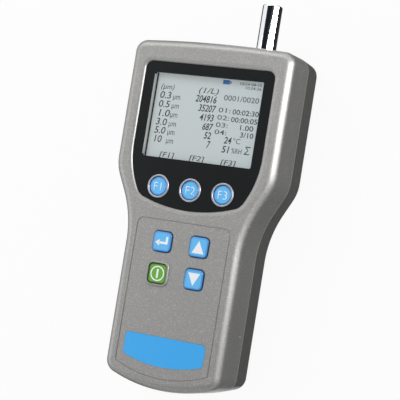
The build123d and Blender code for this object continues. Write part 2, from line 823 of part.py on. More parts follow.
with BuildPart() as tact_switches:
    switch_places = list(function_places.values()) + list(key_places.values())
    with BuildSketch(Plane.XY.offset(display_board_face)):
        with Locations(*switch_places):
            Rectangle(switch_size, switch_size)
    extrude(amount=switch_top - switch_plunger_rise - display_board_face)
    upright(switch_places, switch_plunger_radius, switch_top - switch_plunger_rise, switch_top)

# ------------------------------------------------------------------------------------------------
# Keys
# ------------------------------------------------------------------------------------------------

with BuildPart() as key_rings:
    ring_seat = panel_face - ring_seat_depth
    with BuildSketch(Plane.XY.offset(ring_seat)):
        with Locations(*function_places.values()):
            Circle(ring_outer_radius)
            Circle(ring_bore_radius, mode=Mode.SUBTRACT)
    extrude(amount=ring_seat_depth + ring_rise)
    rims = key_rings.edges().filter_by(GeomType.CIRCLE).group_by(Axis.Z)[-1]
    fillet(rims, ring_edge)


def function_key(place):
    """A round cap with the flange that keeps it behind the panel."""
    with BuildPart() as key:
        upright([place], function_flange_radius, function_flange_face - function_flange_thickness,
                function_flange_face)
        upright([place], function_key_radius, function_flange_face, panel_face + function_key_rise)
        fillet(key.edges().filter_by(GeomType.CIRCLE).group_by(Axis.Z)[-1], function_key_edge)
    return key.part


def keypad_key(place, rise):
    """A square cap with its flange behind the cover and the stem over its switch."""
    flange = key_size + 2 * (key_hole_gap + key_flange_lap)
    with BuildPart() as key:
        with BuildSketch(Plane.XY.offset(key_flange_face - key_flange_thickness)):
            with Locations(place):
                RectangleRounded(flange, flange, key_corner)
        extrude(amount=key_flange_thickness)
        with BuildSketch(Plane.XY.offset(key_flange_face)):
            with Locations(place):
                RectangleRounded(key_size, key_size, key_corner)
        extrude(amount=depth + rise - key_flange_face)
        fillet(key.faces().sort_by(Axis.Z)[-1].edges(), key_edge)
        upright([place], key_stem_radius, switch_top + key_travel + stop_gap,
                key_flange_face - key_flange_thickness)
    return key.part


function_keys = {name: function_key(place) for name, place in function_places.items()}
keypad_keys = {name: keypad_key(place, power_key_rise if name == "key_power" else key_rise)
               for name, place in key_places.items()}

with BuildPart() as name_plate:
    with BuildSketch(Plane.XY.offset(depth - plate_recess)):
        add(plate_outline(0))
    extrude(amount=plate_thickness)

# ------------------------------------------------------------------------------------------------
# Air probe and its seal
# ------------------------------------------------------------------------------------------------

flange_low = body_top - probe_flange_setback
flange_high = flange_low + probe_flange_thickness
spigot_end = flange_low - probe_spigot_length

with BuildPart() as inlet_probe:
    with BuildSketch(Plane.XY.offset(probe_z)):
        with BuildLine():
            Polyline((probe_x + probe_bore_radius, probe_tip),
                     (probe_x + probe_radius, probe_tip),
                     (probe_x + probe_radius, body_top),
                     (probe_x + probe_shoulder_radius, body_top),
                     (probe_x + probe_shoulder_radius, flange_high),
                     (probe_x + probe_flange_radius, flange_high),
                     (probe_x + probe_flange_radius, flange_low),
                     (probe_x + probe_spigot_radius, flange_low),
                     (probe_x + probe_spigot_radius, spigot_end),
                     (probe_x + nozzle_radius, spigot_end),
                     (probe_x + nozzle_radius, spigot_end + nozzle_length),
                     (probe_x + probe_bore_radius, flange_high),
                     close=True)
        make_face()
    revolve(axis=Axis((probe_x, 0, probe_z), (0, 1, 0)))
    fillet(inlet_probe.faces().sort_by(Axis.Y)[-1].edges(), probe_lip_radius)

with BuildPart() as inlet_seal:
    with BuildSketch(Plane.XY.offset(probe_z)):
        with Locations((probe_x + probe_shoulder_radius + seal_section_radius,
                        flange_high + seal_section_radius)):
            Circle(seal_section_radius)
    revolve(axis=Axis((probe_x, 0, probe_z), (0, 1, 0)))

# ------------------------------------------------------------------------------------------------
# Optical sensor: machined block, laser, light trap, mirror and photodetector
# ------------------------------------------------------------------------------------------------

with BuildPart() as optical_block:
    with BuildSketch(Plane.XY.offset(block_floor)):
        with Locations((probe_x, block_y)):
            Rectangle(block_width, block_length)
    extrude(amount=block_height)
    chamfer(optical_block.edges().filter_by(Axis.Z), block_edge)
    with BuildSketch(Plane.XY.offset(block_floor)):
        with Locations(*ears):
            Circle(ear_radius)
        for y in (block_bottom + ear_inset, block_top - ear_inset):
            with Locations((probe_x, y)):
                Rectangle(block_width + 2 * ear_offset, 2 * ear_radius)
    extrude(amount=ear_thickness)
    upright(ears, ear_hole_radius, block_floor, block_floor + ear_thickness, Mode.SUBTRACT)
    with BuildSketch(along_y(probe_x, block_bottom, probe_z)):
        Circle(outlet_radius)
    extrude(amount=-outlet_length)
    with BuildSketch(along_y(probe_x, block_bottom - outlet_length, probe_z)):
        Circle(outlet_bore_radius)
    extrude(amount=block_length + outlet_length, mode=Mode.SUBTRACT)
    with BuildSketch(along_y(probe_x, block_y - chamber_radius, probe_z)):
        Circle(chamber_radius)
    extrude(amount=2 * chamber_radius, mode=Mode.SUBTRACT)
    with BuildSketch(along_y(probe_x, spigot_end, probe_z)):
        Circle(probe_spigot_radius + thread_gap)
    extrude(amount=block_length, mode=Mode.SUBTRACT)
    with BuildSketch(along_x(block_left, block_y, probe_z)):
        Circle(laser_radius + thread_gap)
    extrude(amount=laser_seat, mode=Mode.SUBTRACT)
    with BuildSketch(along_x(block_left, block_y, probe_z)):
        Circle(outlet_bore_radius)
    extrude(amount=block_width, mode=Mode.SUBTRACT)
    with BuildSketch(along_x(block_right, block_y, probe_z)):
        Circle(laser_radius + thread_gap)
    extrude(amount=-laser_seat, mode=Mode.SUBTRACT)
    upright([(probe_x, block_y)], detector_radius + fit_gap, block_floor, probe_z, Mode.SUBTRACT)
    upright([(probe_x, block_y)], mirror_radius + thread_gap, block_floor + block_height - mirror_pocket,
            block_floor + block_height, Mode.SUBTRACT)
    upright([(probe_x, block_y)], chamber_radius, probe_z, block_floor + block_height, Mode.SUBTRACT)

with BuildPart() as laser_module:
    laser_nose = block_left + laser_seat
    laser_length = laser_nose - laser_cap_length - laser_gap - pump_x - pump_motor_radius
    with BuildSketch(along_x(laser_nose, block_y, probe_z)):
        Circle(laser_radius)
    extrude(amount=-laser_length)
    chamfer(laser_module.edges().filter_by(GeomType.CIRCLE), laser_edge)
    with BuildSketch(along_x(laser_nose - laser_length, block_y, probe_z)):
        Circle(laser_cap_radius)
    extrude(amount=-laser_cap_length)

with BuildPart() as light_trap:
    with BuildSketch(along_x(block_right - laser_seat, block_y, probe_z)):
        Circle(laser_radius)
    extrude(amount=trap_length)
    with BuildSketch(along_x(block_right, block_y, probe_z)):
        Circle(trap_flange_radius)
    extrude(amount=trap_flange_thickness)
    mouth = light_trap.faces().sort_by(Axis.X)[0]
    with BuildSketch(Plane(mouth)):
        Circle(laser_radius - trap_wall)
    extrude(amount=trap_end - trap_length, taper=trap_taper, mode=Mode.SUBTRACT)

with BuildPart() as collecting_mirror:
    mirror_seat = block_floor + block_height - mirror_pocket
    upright([(probe_x, block_y)], mirror_radius, mirror_seat, mirror_seat + mirror_thickness)
    with Locations((probe_x, block_y, mirror_seat + mirror_hollow - mirror_curve_radius)):
        Sphere(mirror_curve_radius, mode=Mode.SUBTRACT)

with BuildPart() as photodetector:
    upright([(probe_x, block_y)], detector_radius, block_floor, block_floor + detector_height)
    fillet(photodetector.edges().filter_by(GeomType.CIRCLE).group_by(Axis.Z)[-1], detector_edge)

with BuildPart() as detector_board:
    with BuildSketch(Plane.XY.offset(block_floor - board_thickness)):
        with Locations((probe_x, block_y)):
            Rectangle(detector_board_size, detector_board_size)
    extrude(amount=board_thickness)

# ------------------------------------------------------------------------------------------------
# Pump in its rubber cradle, hoses and exhaust filter
# ------------------------------------------------------------------------------------------------

with BuildPart() as air_pump:
    with BuildSketch(Plane.XY.offset(pump_z - pump_head_height / 2)):
        with Locations((pump_x, pump_head_top - pump_head_length / 2)):
            RectangleRounded(pump_head_width, pump_head_length, pump_head_corner)
    extrude(amount=pump_head_height)
    with BuildSketch(along_y(pump_x, pump_head_top, pump_z)):
        Circle(pump_motor_radius)
    extrude(amount=pump_motor_length)
    motor_end = air_pump.faces().sort_by(Axis.Y)[-1]
    fillet(motor_end.edges(), pump_motor_edge)
    for port_y in (pump_inlet_y, pump_outlet_y):
        with BuildSketch(along_x(pump_face_x, port_y, probe_z)):
            Circle(outlet_radius)
        extrude(amount=port_length)

with BuildPart() as pump_cradle:
    with BuildSketch(Plane.XY.offset(wall)):
        with Locations((pump_x, cradle_y)):
            Rectangle(2 * pump_motor_radius + cradle_side, cradle_length)
    extrude(amount=pump_z - wall)
    with BuildSketch(along_y(pump_x, cradle_y - cradle_length / 2, pump_z)):
        Circle(pump_motor_radius + fit_gap)
    extrude(amount=cradle_length, mode=Mode.SUBTRACT)

with BuildPart() as pump_clamp:
    with BuildSketch(along_y(pump_x, cradle_y - clamp_width / 2, pump_z)):
        Circle(pump_motor_radius + fit_gap + clamp_thickness)
        with Locations((0, -clamp_thickness / 2)):
            Rectangle(2 * clamp_half, clamp_thickness)
        Circle(pump_motor_radius + fit_gap, mode=Mode.SUBTRACT)
    extrude(amount=clamp_width)
    split(bisect_by=Plane.XY.offset(pump_z), keep=Keep.TOP)
    upright(clamp_holes, board_screw_radius + fit_gap, pump_z, pump_z + clamp_thickness, Mode.SUBTRACT)

with BuildPart() as sample_hose:
    with BuildLine() as sample_route:
        FilletPolyline((probe_x, block_bottom, probe_z), (probe_x, pump_inlet_y, probe_z),
                       (pump_face_x, pump_inlet_y, probe_z), radius=hose_bend_radius)
    with BuildSketch(along_y(probe_x, block_bottom, probe_z)):
        Circle(hose_radius)
        Circle(hose_bore_radius, mode=Mode.SUBTRACT)
    sweep(path=sample_route.wires()[0])

with BuildPart() as exhaust_hose:
    with BuildSketch(along_x(pump_face_x, pump_outlet_y, probe_z)):
        Circle(hose_radius)
        Circle(hose_bore_radius, mode=Mode.SUBTRACT)
    extrude(amount=filter_start - pump_face_x)

with BuildPart() as exhaust_filter:
    with BuildSketch(along_x(filter_start - port_length, pump_outlet_y, probe_z)):
        Circle(outlet_radius)
    extrude(amount=filter_length + 2 * port_length)
    with BuildSketch(along_x(filter_start, pump_outlet_y, probe_z)):
        Circle(filter_radius)
    extrude(amount=filter_length)
    chamfer(exhaust_filter.edges().filter_by(GeomType.CIRCLE).filter_by(
        lambda e: abs(e.radius - filter_radius) < 1e-4), filter_step)

# ------------------------------------------------------------------------------------------------
# Main board and what it carries
# ------------------------------------------------------------------------------------------------

with BuildPart() as main_board:
    with BuildSketch(Plane.XY.offset(main_board_back)):
        with Locations((0, (main_board_top + main_board_end) / 2)):
            Rectangle(main_board_width, main_board_top - main_board_end)
        with Locations((0, (main_board_end + body_bottom + board_tongue_foot) / 2)):
            Rectangle(board_tongue_width, main_board_end - body_bottom - board_tongue_foot)
        with Locations(*(standoffs + long_posts)):
            Circle(board_screw_radius + fit_gap, mode=Mode.SUBTRACT)
    extrude(amount=board_thickness)

with BuildPart() as board_chips:
    for x, y, width, length, height in chips:
        with Locations((x, y, main_board_face)):
            Box(width, length, height, align=(Align.CENTER, Align.CENTER, Align.MIN))

with BuildPart() as board_connector:
    with BuildSketch(Plane.XY.offset(main_board_face)):
        with Locations((0, body_top - connector_margin)):
            Rectangle(connector_length, connector_width)
    extrude(amount=display_board_back - main_board_face)

with BuildPart() as coin_cell:
    upright([coin_cell_place], coin_cell_radius, main_board_face, main_board_face + coin_cell_height)

with BuildPart() as buzzer:
    upright([buzzer_place], buzzer_radius, main_board_face, main_board_face + buzzer_height)
    fillet(buzzer.edges().filter_by(GeomType.CIRCLE).group_by(Axis.Z)[-1], buzzer_edge)
    upright([buzzer_place], buzzer_hole_radius, main_board_face + buzzer_height / 2,
            main_board_face + buzzer_height, Mode.SUBTRACT)

with BuildPart() as usb_socket:
    usb_centre = main_board_face + usb_height / 2
    with BuildSketch(along_y(usb_x, port_mouth, usb_centre)):
        RectangleRounded(usb_width, usb_height, usb_shell)
    extrude(amount=usb_length)
    with BuildSketch(along_y(usb_x, port_mouth, usb_centre)):
        Rectangle(usb_width - 2 * usb_shell, usb_height - 2 * usb_shell)
        Rectangle(usb_width / 2, usb_shell, mode=Mode.SUBTRACT)
    extrude(amount=usb_mouth, mode=Mode.SUBTRACT)

with BuildPart() as dc_jack:
    jack_centre = main_board_face + jack_height / 2
    with BuildSketch(along_y(jack_x, port_mouth + jack_nose, jack_centre)):
        RectangleRounded(jack_width, jack_height, jack_corner)
    extrude(amount=jack_length)
    with BuildSketch(along_y(jack_x, port_mouth, jack_centre)):
        Circle(jack_width / 2)
    extrude(amount=jack_nose + jack_nose_lap)
    with BuildSketch(along_y(jack_x, port_mouth, jack_centre)):
        Circle(jack_bore_radius)
        Circle(jack_pin_radius, mode=Mode.SUBTRACT)
    extrude(amount=jack_bore_depth, mode=Mode.SUBTRACT)

# ------------------------------------------------------------------------------------------------
# Battery, contacts and door
# ------------------------------------------------------------------------------------------------

battery_low = door_thickness + bay_floor / 2
battery_end = bay_bottom + battery_gap
with BuildPart() as battery_pack:
    with BuildSketch(along_y(0, battery_end, battery_low + battery_height / 2)):
        SlotOverall(battery_width, battery_height)
        Rectangle(battery_width - battery_height, battery_height)
    extrude(amount=battery_length)
    chamfer(battery_pack.faces().filter_by(Axis.Y).edges(), battery_edge)

with BuildPart() as battery_contacts:
    contact_z = battery_low + battery_height / 2
    with BuildSketch(Plane.YZ.offset(contact_width / 2)):
        with BuildLine():
            Polyline((bay_top, contact_z - contact_height / 2),
                     (bay_top, contact_z + contact_height / 2),
                     (bay_top - contact_thickness, contact_z + contact_height / 2),
                     (battery_end + battery_length, contact_z + contact_thickness),
                     (battery_end + battery_length, contact_z - contact_thickness),
                     (bay_top - contact_thickness, contact_z - contact_height / 2), close=True)
        make_face()
    blade = extrude(amount=-contact_width, mode=Mode.PRIVATE)
    add([blade.moved(Location((side * contact_pitch / 2, 0, 0))) for side in (-1, 1)])

with BuildPart() as battery_door:
    door_plate_top = door_thickness - fit_gap
    add(rear_body())
    with BuildSketch(Plane.XY):
        with Locations((0, door_top - body_length)):
            RectangleRounded(door_width, 2 * body_length, door_corner)
    extrude(amount=door_plate_top, mode=Mode.INTERSECT)
    for x, y in hook_stations:
        lip_low = door_thickness + bay_floor + slide_gap
        with Locations((x, y, door_plate_top)):
            Box(hook_width, hook_stem, lip_low + hook_lip_thickness - door_plate_top,
                align=(Align.CENTER, Align.CENTER, Align.MIN))
        with Locations((x, y + (hook_stem + hook_lip) / 2, lip_low)):
            Box(hook_width, hook_lip, hook_lip_thickness, align=(Align.CENTER, Align.CENTER, Align.MIN))
    with BuildSketch(Plane.XY):
        with Locations((0, body_bottom + grip_margin + grip_pitch * grip_grooves / 2)):
            with GridLocations(0, grip_pitch, 1, grip_grooves):
                SlotOverall(grip_length, grip_width)
    extrude(amount=grip_depth, mode=Mode.SUBTRACT)

# ------------------------------------------------------------------------------------------------
# Fasteners, tripod insert and humidity sensor
# ------------------------------------------------------------------------------------------------

def screws(points, radius, seat, length, up):
    """Pan-head screws along Z: heads at the seat, shanks pointing up or down."""
    head_radius = radius * screw_head_ratio
    with BuildPart() as group:
        if up:
            upright(points, head_radius, seat - screw_head_height, seat)
            upright(points, radius, seat, seat + length)
            crowns = group.edges().filter_by(GeomType.CIRCLE).group_by(Axis.Z)[0]
        else:
            upright(points, head_radius, seat, seat + screw_head_height)
            upright(points, radius, seat - length, seat)
            crowns = group.edges().filter_by(GeomType.CIRCLE).group_by(Axis.Z)[-1]
        fillet(crowns, screw_head_height / 3)
    return group.part


cover_screws = screws(cover_screws_at, cover_screw_radius, cover_screw_seat, cover_screw_length, True)
display_screws = screws(bezel_posts + cover_posts, small_screw_radius, display_board_back,
                        small_screw_length, True)
board_screws = screws(standoffs + long_posts, board_screw_radius, main_board_face, board_screw_length, False)
sensor_screws = screws(ears, board_screw_radius, block_floor + ear_thickness, bracket_screw_length, False)
clamp_screws = screws(clamp_holes, board_screw_radius, pump_z + clamp_thickness, bracket_screw_length, False)

with BuildPart() as tripod_insert:
    upright([(0, body_top - insert_margin)], insert_radius, 0, insert_length)
    upright([(0, body_top - insert_margin)], insert_hole_radius, 0, insert_length - insert_end, Mode.SUBTRACT)

with BuildPart() as humidity_sensor:
    humidity_x = head_half - humidity_inset
    with Locations((humidity_x, body_top - humidity_margin, wall)):
        Box(humidity_width, humidity_length, humidity_board, align=(Align.CENTER, Align.CENTER, Align.MIN))
    with Locations((humidity_x, body_top - humidity_margin, wall + humidity_board)):
        Box(humidity_chip, humidity_chip, humidity_chip_height,
            align=(Align.CENTER, Align.CENTER, Align.MIN))

# ------------------------------------------------------------------------------------------------
# Export
# ------------------------------------------------------------------------------------------------

nodes = {
    "front_cover": front_cover.part, "rear_cover": rear_cover.part, "cover_gasket": cover_gasket.part,
    "display_bezel": display_bezel.part, "display_window": display_window.part,
    "lcd_panel": lcd_panel.part, "lcd_frame": lcd_frame.part, "display_board": display_board.part,
    "tact_switches": tact_switches.part, "key_rings": key_rings.part, "name_plate": name_plate.part,
    "inlet_probe": inlet_probe.part, "inlet_seal": inlet_seal.part, "optical_block": optical_block.part,
    "laser_module": laser_module.part, "light_trap": light_trap.part,
    "collecting_mirror": collecting_mirror.part, "photodetector": photodetector.part,
    "detector_board": detector_board.part, "air_pump": air_pump.part, "pump_cradle": pump_cradle.part,
    "pump_clamp": pump_clamp.part, "sample_hose": sample_hose.part, "exhaust_hose": exhaust_hose.part,
    "exhaust_filter": exhaust_filter.part, "main_board": main_board.part, "board_chips": board_chips.part,
    "board_connector": board_connector.part, "coin_cell": coin_cell.part, "buzzer": buzzer.part,
    "usb_socket": usb_socket.part, "dc_jack": dc_jack.part, "battery_pack": battery_pack.part,
    "battery_contacts": battery_contacts.part, "battery_door": battery_door.part,
    "cover_screws": cover_screws, "display_screws": display_screws, "board_screws": board_screws,
    "sensor_screws": sensor_screws, "clamp_screws": clamp_screws, "tripod_insert": tripod_insert.part,
    "humidity_sensor": humidity_sensor.part, **function_keys, **keypad_keys,
}
for name, part in nodes.items():
    export_node(part, name)
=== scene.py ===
"""Looks of a handheld airborne particle counter: finishes, printed legends, readings and studio.

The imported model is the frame, in metres: +Z is the normal of the front face, +Y points to the air
probe and +X to the right of the display. The counter lies on its back on the floor.
"""
import logging
import math
from collections.abc import Iterator
from contextlib import contextmanager
from dataclasses import dataclass, field
from enum import Enum
from typing import ClassVar
import bpy
from mathutils import Matrix, Vector


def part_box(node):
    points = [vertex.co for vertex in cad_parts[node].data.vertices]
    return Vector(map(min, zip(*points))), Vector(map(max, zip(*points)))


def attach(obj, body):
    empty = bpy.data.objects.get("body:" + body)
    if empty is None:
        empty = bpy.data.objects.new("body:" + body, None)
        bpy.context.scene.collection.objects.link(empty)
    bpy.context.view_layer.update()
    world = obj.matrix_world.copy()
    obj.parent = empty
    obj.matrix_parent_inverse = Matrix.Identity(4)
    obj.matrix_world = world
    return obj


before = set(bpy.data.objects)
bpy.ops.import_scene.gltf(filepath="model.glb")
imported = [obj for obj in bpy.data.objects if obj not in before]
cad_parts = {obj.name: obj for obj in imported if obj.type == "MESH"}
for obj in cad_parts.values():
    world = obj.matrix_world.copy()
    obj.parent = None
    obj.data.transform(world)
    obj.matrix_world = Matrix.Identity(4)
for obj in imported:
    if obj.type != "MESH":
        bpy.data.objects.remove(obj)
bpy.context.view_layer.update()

logging.basicConfig(level=logging.INFO, format="%(message)s")
log = logging.getLogger("particle_counter")

Colour = tuple[float, float, float]
Point = tuple[float, float, float]

MM = 0.001


# ------------------------------------------------------------------------------------------------
# Node trees
# ------------------------------------------------------------------------------------------------

class Graph:
    """A material's node tree, with short ways to add and join nodes."""

    def __init__(self, name: str) -> None:
        """Start a material with one principled shader."""
        self.material = bpy.data.materials.new(name)
        self.material.use_nodes = True
        self.tree = self.material.node_tree
        self.shader = self.tree.nodes["Principled BSDF"]
        self.output = self.tree.nodes["Material Output"]

    def node(self, kind: str, values: dict | None = None, **settings: object) -> bpy.types.Node:
        """Add a node.

        Args:
            kind: Blender's name of the node type.
            values: Fixed values of its inputs, by name or number.
            **settings: Properties of the node itself.

        Returns:
            The new node.
        """
        made = self.tree.nodes.new(kind)
        for key, value in settings.items():
            setattr(made, key, value)
        for socket, value in (values or {}).items():
            made.inputs[socket].default_value = value
        return made

    def join(self, source: bpy.types.NodeSocket, target: bpy.types.NodeSocket) -> None:
        """Link an output to an input."""
        self.tree.links.new(source, target)

    def place(self, centre: Point = (0.0, 0.0, 0.0),
              stretch: Point = (1.0, 1.0, 1.0)) -> bpy.types.NodeSocket:
        """Position on the piece, measured from a centre.

        Args:
            centre: The point that reads as zero, in metres.
            stretch: Factors along each axis.

        Returns:
            The vector output.
        """
        source = self.node("ShaderNodeTexCoord").outputs["Object"]
        moved = self.node("ShaderNodeMapping")
        moved.inputs["Location"].default_value = [-c * s for c, s in zip(centre, stretch)]
        moved.inputs["Scale"].default_value = stretch
        self.join(source, moved.inputs["Vector"])
        return moved.outputs["Vector"]

    def noise(self, size: float, vector: bpy.types.NodeSocket | None = None,
              detail: float = 2.0) -> bpy.types.NodeSocket:
        """Soft random values.

        Args:
            size: Size of the blotches in metres.
            vector: Position to read, or None for the piece's own.
            detail: How many finer layers are added.

        Returns:
            The factor output.
        """
        made = self.node("ShaderNodeTexNoise", {"Scale": 1.0 / size, "Detail": detail})
        self.join(vector or self.place(), made.inputs["Vector"])
        return made.outputs["Fac"]

    def cells(self, size: float) -> bpy.types.NodeSocket:
        """A random value for each small cell.

        Args:
            size: Size of a cell in metres.

        Returns:
            The value output.
        """
        made = self.node("ShaderNodeTexVoronoi", {"Scale": 1.0 / size})
        self.join(self.place(), made.inputs["Vector"])
        split = self.node("ShaderNodeSeparateColor")
        self.join(made.outputs["Color"], split.inputs["Color"])
        return split.outputs["Red"]

    def ramp(self, factor: bpy.types.NodeSocket, stops: list[tuple[float, Colour]]) -> bpy.types.NodeSocket:
        """Colours along a factor.

        Args:
            factor: The value to read.
            stops: Positions and their colours, in order.

        Returns:
            The colour output.
        """
        made = self.node("ShaderNodeValToRGB")
        elements = made.color_ramp.elements
        while len(elements) < len(stops):
            elements.new(0.5)
        for element, (position, colour) in zip(elements, stops):
            element.position = position
            element.color = (*colour, 1.0)
        self.join(factor, made.inputs["Fac"])
        return made.outputs["Color"]

    def spread(self, factor: bpy.types.NodeSocket, low: float, high: float) -> bpy.types.NodeSocket:
        """Carry a factor from 0..1 to low..high.

        Args:
            factor: The value to read.
            low: Result at 0.
            high: Result at 1.

        Returns:
            The value output.
        """
        made = self.node("ShaderNodeMapRange", {"To Min": low, "To Max": high})
        self.join(factor, made.inputs["Value"])
        return made.outputs["Result"]

    def maths(self, operation: str, first: bpy.types.NodeSocket, second: object) -> bpy.types.NodeSocket:
        """One sum.

        Args:
            operation: Blender's name of the operation.
            first: The first value.
            second: A number or another output.

        Returns:
            The value output.
        """
        made = self.node("ShaderNodeMath", operation=operation)
        self.join(first, made.inputs[0])
        if isinstance(second, (int, float)):
            made.inputs[1].default_value = second
        else:
            self.join(second, made.inputs[1])
        return made.outputs["Value"]

    def emboss(self, height: bpy.types.NodeSocket, depth: float, strength: float = 1.0) -> None:
        """Give the shader a bump.

        Args:
            height: Relief from 0 to 1.
            depth: Real height of that relief in metres.
            strength: Share of the bump that shows.
        """
        made = self.node("ShaderNodeBump", {"Strength": strength, "Distance": depth})
        self.join(height, made.inputs["Height"])
        self.join(made.outputs["Normal"], self.shader.inputs["Normal"])


def shaded(colour: Colour, factor: float) -> Colour:
    """A colour made lighter or darker by a factor."""
    return tuple(min(1.0, c * factor) for c in colour)


# ------------------------------------------------------------------------------------------------
# Finishes
# ------------------------------------------------------------------------------------------------

@dataclass(frozen=True)
class Finish:
    """A moulded, cast or coated surface with a fine grain.

    Attributes:
        name: Name of the material.
        colour: Linear base colour.
        roughness: Mean roughness.
        metallic: 1 for bare metal.
        shine: Level of plain reflection, 0.5 for common plastic.
        coat: Weight of a clear coat.
        coat_roughness: Roughness of the coat.
        mottle: Share by which the colour varies.
        grain: Size of the grain in metres.
        relief: Height of the grain in metres.
    """

    name: str
    colour: Colour
    roughness: float
    metallic: float = 0.0
    shine: float = 0.5
    coat: float = 0.0
    coat_roughness: float = 0.1
    mottle: float = 0.06
    grain: float = 0.4 * MM
    relief: float = 0.004 * MM

    def start(self) -> Graph:
        """A graph whose shader has this finish's fixed values."""
        graph = Graph(self.name)
        inputs = graph.shader.inputs
        inputs["Metallic"].default_value = self.metallic
        inputs["Specular IOR Level"].default_value = self.shine
        inputs["Coat Weight"].default_value = self.coat
        inputs["Coat Roughness"].default_value = self.coat_roughness
        return graph

    def roughen(self, graph: Graph, blotches: bpy.types.NodeSocket) -> None:
        """Vary the roughness a little over the surface."""
        swing = 0.15 * self.roughness
        result = graph.spread(blotches, self.roughness - swing, self.roughness + swing)
        graph.join(result, graph.shader.inputs["Roughness"])

    def build(self) -> bpy.types.Material:
        """Make the material."""
        graph = self.start()
        grain = graph.noise(self.grain)
        tones = [(0.3, shaded(self.colour, 1 - self.mottle)), (0.7, shaded(self.colour, 1 + self.mottle))]
        graph.join(graph.ramp(grain, tones), graph.shader.inputs["Base Color"])
        self.roughen(graph, graph.noise(40 * self.grain))
        graph.emboss(grain, self.relief)
        return graph.material


@dataclass(frozen=True)
class FlakePaint(Finish):
    """Metallic paint: bright flakes in a grey ground, under a thin coat.

    Attributes:
        flake: Size of a flake in metres.
        sparkle: How much brighter the brightest flakes are.
        peel: Size of the slow waves in the coat, in metres.
    """

    flake: float = 0.28 * MM
    sparkle: float = 1.7
    peel: float = 2.5 * MM

    def build(self) -> bpy.types.Material:
        """Make the material."""
        graph = self.start()
        flakes = graph.cells(self.flake)
        tones = [(0.0, shaded(self.colour, 1 - 2 * self.mottle)), (0.45, self.colour),
                 (0.9, shaded(self.colour, 1 + 2 * self.mottle)), (0.98, shaded(self.colour, self.sparkle))]
        graph.join(graph.ramp(flakes, tones), graph.shader.inputs["Base Color"])
        self.roughen(graph, flakes)
        waves = graph.noise(self.peel)
        both = graph.maths("ADD", waves, graph.maths("MULTIPLY", flakes, 0.25))
        graph.emboss(both, self.relief)
        return graph.material


@dataclass(frozen=True)
class DrawnMetal(Finish):
    """Metal with fine lines along or around one axis.

    Attributes:
        stretch: Factors that draw the grain out, smallest along the lines.
    """

    stretch: Point = (1.0, 0.03, 1.0)

    def build(self) -> bpy.types.Material:
        """Make the material."""
        graph = self.start()
        lines = graph.noise(self.grain, graph.place(stretch=self.stretch), detail=4.0)
        tones = [(0.3, shaded(self.colour, 1 - self.mottle)), (0.7, shaded(self.colour, 1 + self.mottle))]
        graph.join(graph.ramp(lines, tones), graph.shader.inputs["Base Color"])
        self.roughen(graph, lines)
        graph.emboss(lines, self.relief)
        return graph.material


@dataclass(frozen=True)
class KeyPlasticWithShade(Finish):
    """Moulded key cap with painted shade: its colour darkens from the middle of its face toward its rounded
    edge, where shade falls.

    Attributes:
        edge: Linear colour of the painted shade at the cap's edge.
        centre: Middle of the cap in metres.
        half: Half the cap's width in metres.
        power: 2 for a round cap, more for a square one.
    """

    edge: Colour = (0.0, 0.0, 0.0)
    centre: Point = (0.0, 0.0, 0.0)
    half: float = 5.0 * MM
    power: float = 2.0

    def build(self) -> bpy.types.Material:
        """Make the material."""
        graph = self.start()
        split = graph.node("ShaderNodeSeparateXYZ")
        graph.join(graph.place(self.centre, (1 / self.half,) * 3), split.inputs["Vector"])
        raised = [graph.maths("POWER", graph.maths("MULTIPLY", split.outputs[axis], split.outputs[axis]),
                              self.power / 2) for axis in ("X", "Y")]
        reach = graph.maths("POWER", graph.maths("ADD", *raised), 1 / self.power)
        # Painted shade: the colour darkens toward the cap's rounded edge.
        tones = [(0.0, self.colour), (0.80, shaded(self.colour, 0.97)), (0.97, self.edge)]
        graph.join(graph.ramp(reach, tones), graph.shader.inputs["Base Color"])
        grain = graph.noise(self.grain)
        self.roughen(graph, grain)
        graph.emboss(grain, self.relief)
        return graph.material


@dataclass(frozen=True)
class ScreenGlass(Finish):
    """Backlit display: a pale field that turns bluer to one side, ruled by its dots, whose glow is partly
    painted light.

    Attributes:
        far_colour: Linear colour at the right side.
        span: Width over which the colour turns, in metres.
        glow: Strength of the backlight, raised so that it also paints in light that the window's recess
            shades off the display.
        pitch: Distance of the dots in metres.
    """

    far_colour: Colour = (0.0, 0.0, 0.0)
    span: float = 70 * MM
    glow: float = 0.2
    pitch: float = 0.22 * MM

    def build(self) -> bpy.types.Material:
        """Make the material."""
        graph = self.start()
        split = graph.node("ShaderNodeSeparateXYZ")
        graph.join(graph.place((-self.span / 2, 0.0, 0.0), (1 / self.span,) * 3), split.inputs["Vector"])
        field_colour = graph.ramp(split.outputs["X"], [(0.0, self.colour), (1.0, self.far_colour)])
        lattice = {"Scale": 1.0, "Brick Width": self.pitch, "Row Height": self.pitch,
                   "Mortar Size": 0.1 * self.pitch, "Mortar": (0.8, 0.8, 0.8, 1)}
        dots = graph.node("ShaderNodeTexBrick", lattice, offset=0.0)
        dots.inputs["Color1"].default_value = (1, 1, 1, 1)
        dots.inputs["Color2"].default_value = (0.97, 0.97, 0.97, 1)
        graph.join(graph.place(), dots.inputs["Vector"])
        mixed = graph.node("ShaderNodeMix", {"Factor": 0.6}, data_type="RGBA", blend_type="MULTIPLY")
        graph.join(field_colour, mixed.inputs["A"])
        graph.join(dots.outputs["Color"], mixed.inputs["B"])
        graph.join(mixed.outputs["Result"], graph.shader.inputs["Base Color"])
        self.roughen(graph, graph.noise(self.span / 8))
        graph.shader.inputs["Emission Color"].default_value = (*self.colour, 1)
        graph.shader.inputs["Emission Strength"].default_value = self.glow
        return graph.material


@dataclass(frozen=True)
class ClearPane(Finish):
    """Clear flat pane with a faint gloss.

    Attributes:
        body: How much the pane hides of what lies behind it, from 0 to 1.
    """

    body: float = 0.08

    def build(self) -> bpy.types.Material:
        """Make the material."""
        graph = self.start()
        graph.shader.inputs["Base Color"].default_value = (*self.colour, 1)
        graph.shader.inputs["Roughness"].default_value = self.roughness
        graph.shader.inputs["Alpha"].default_value = self.body
        return graph.material


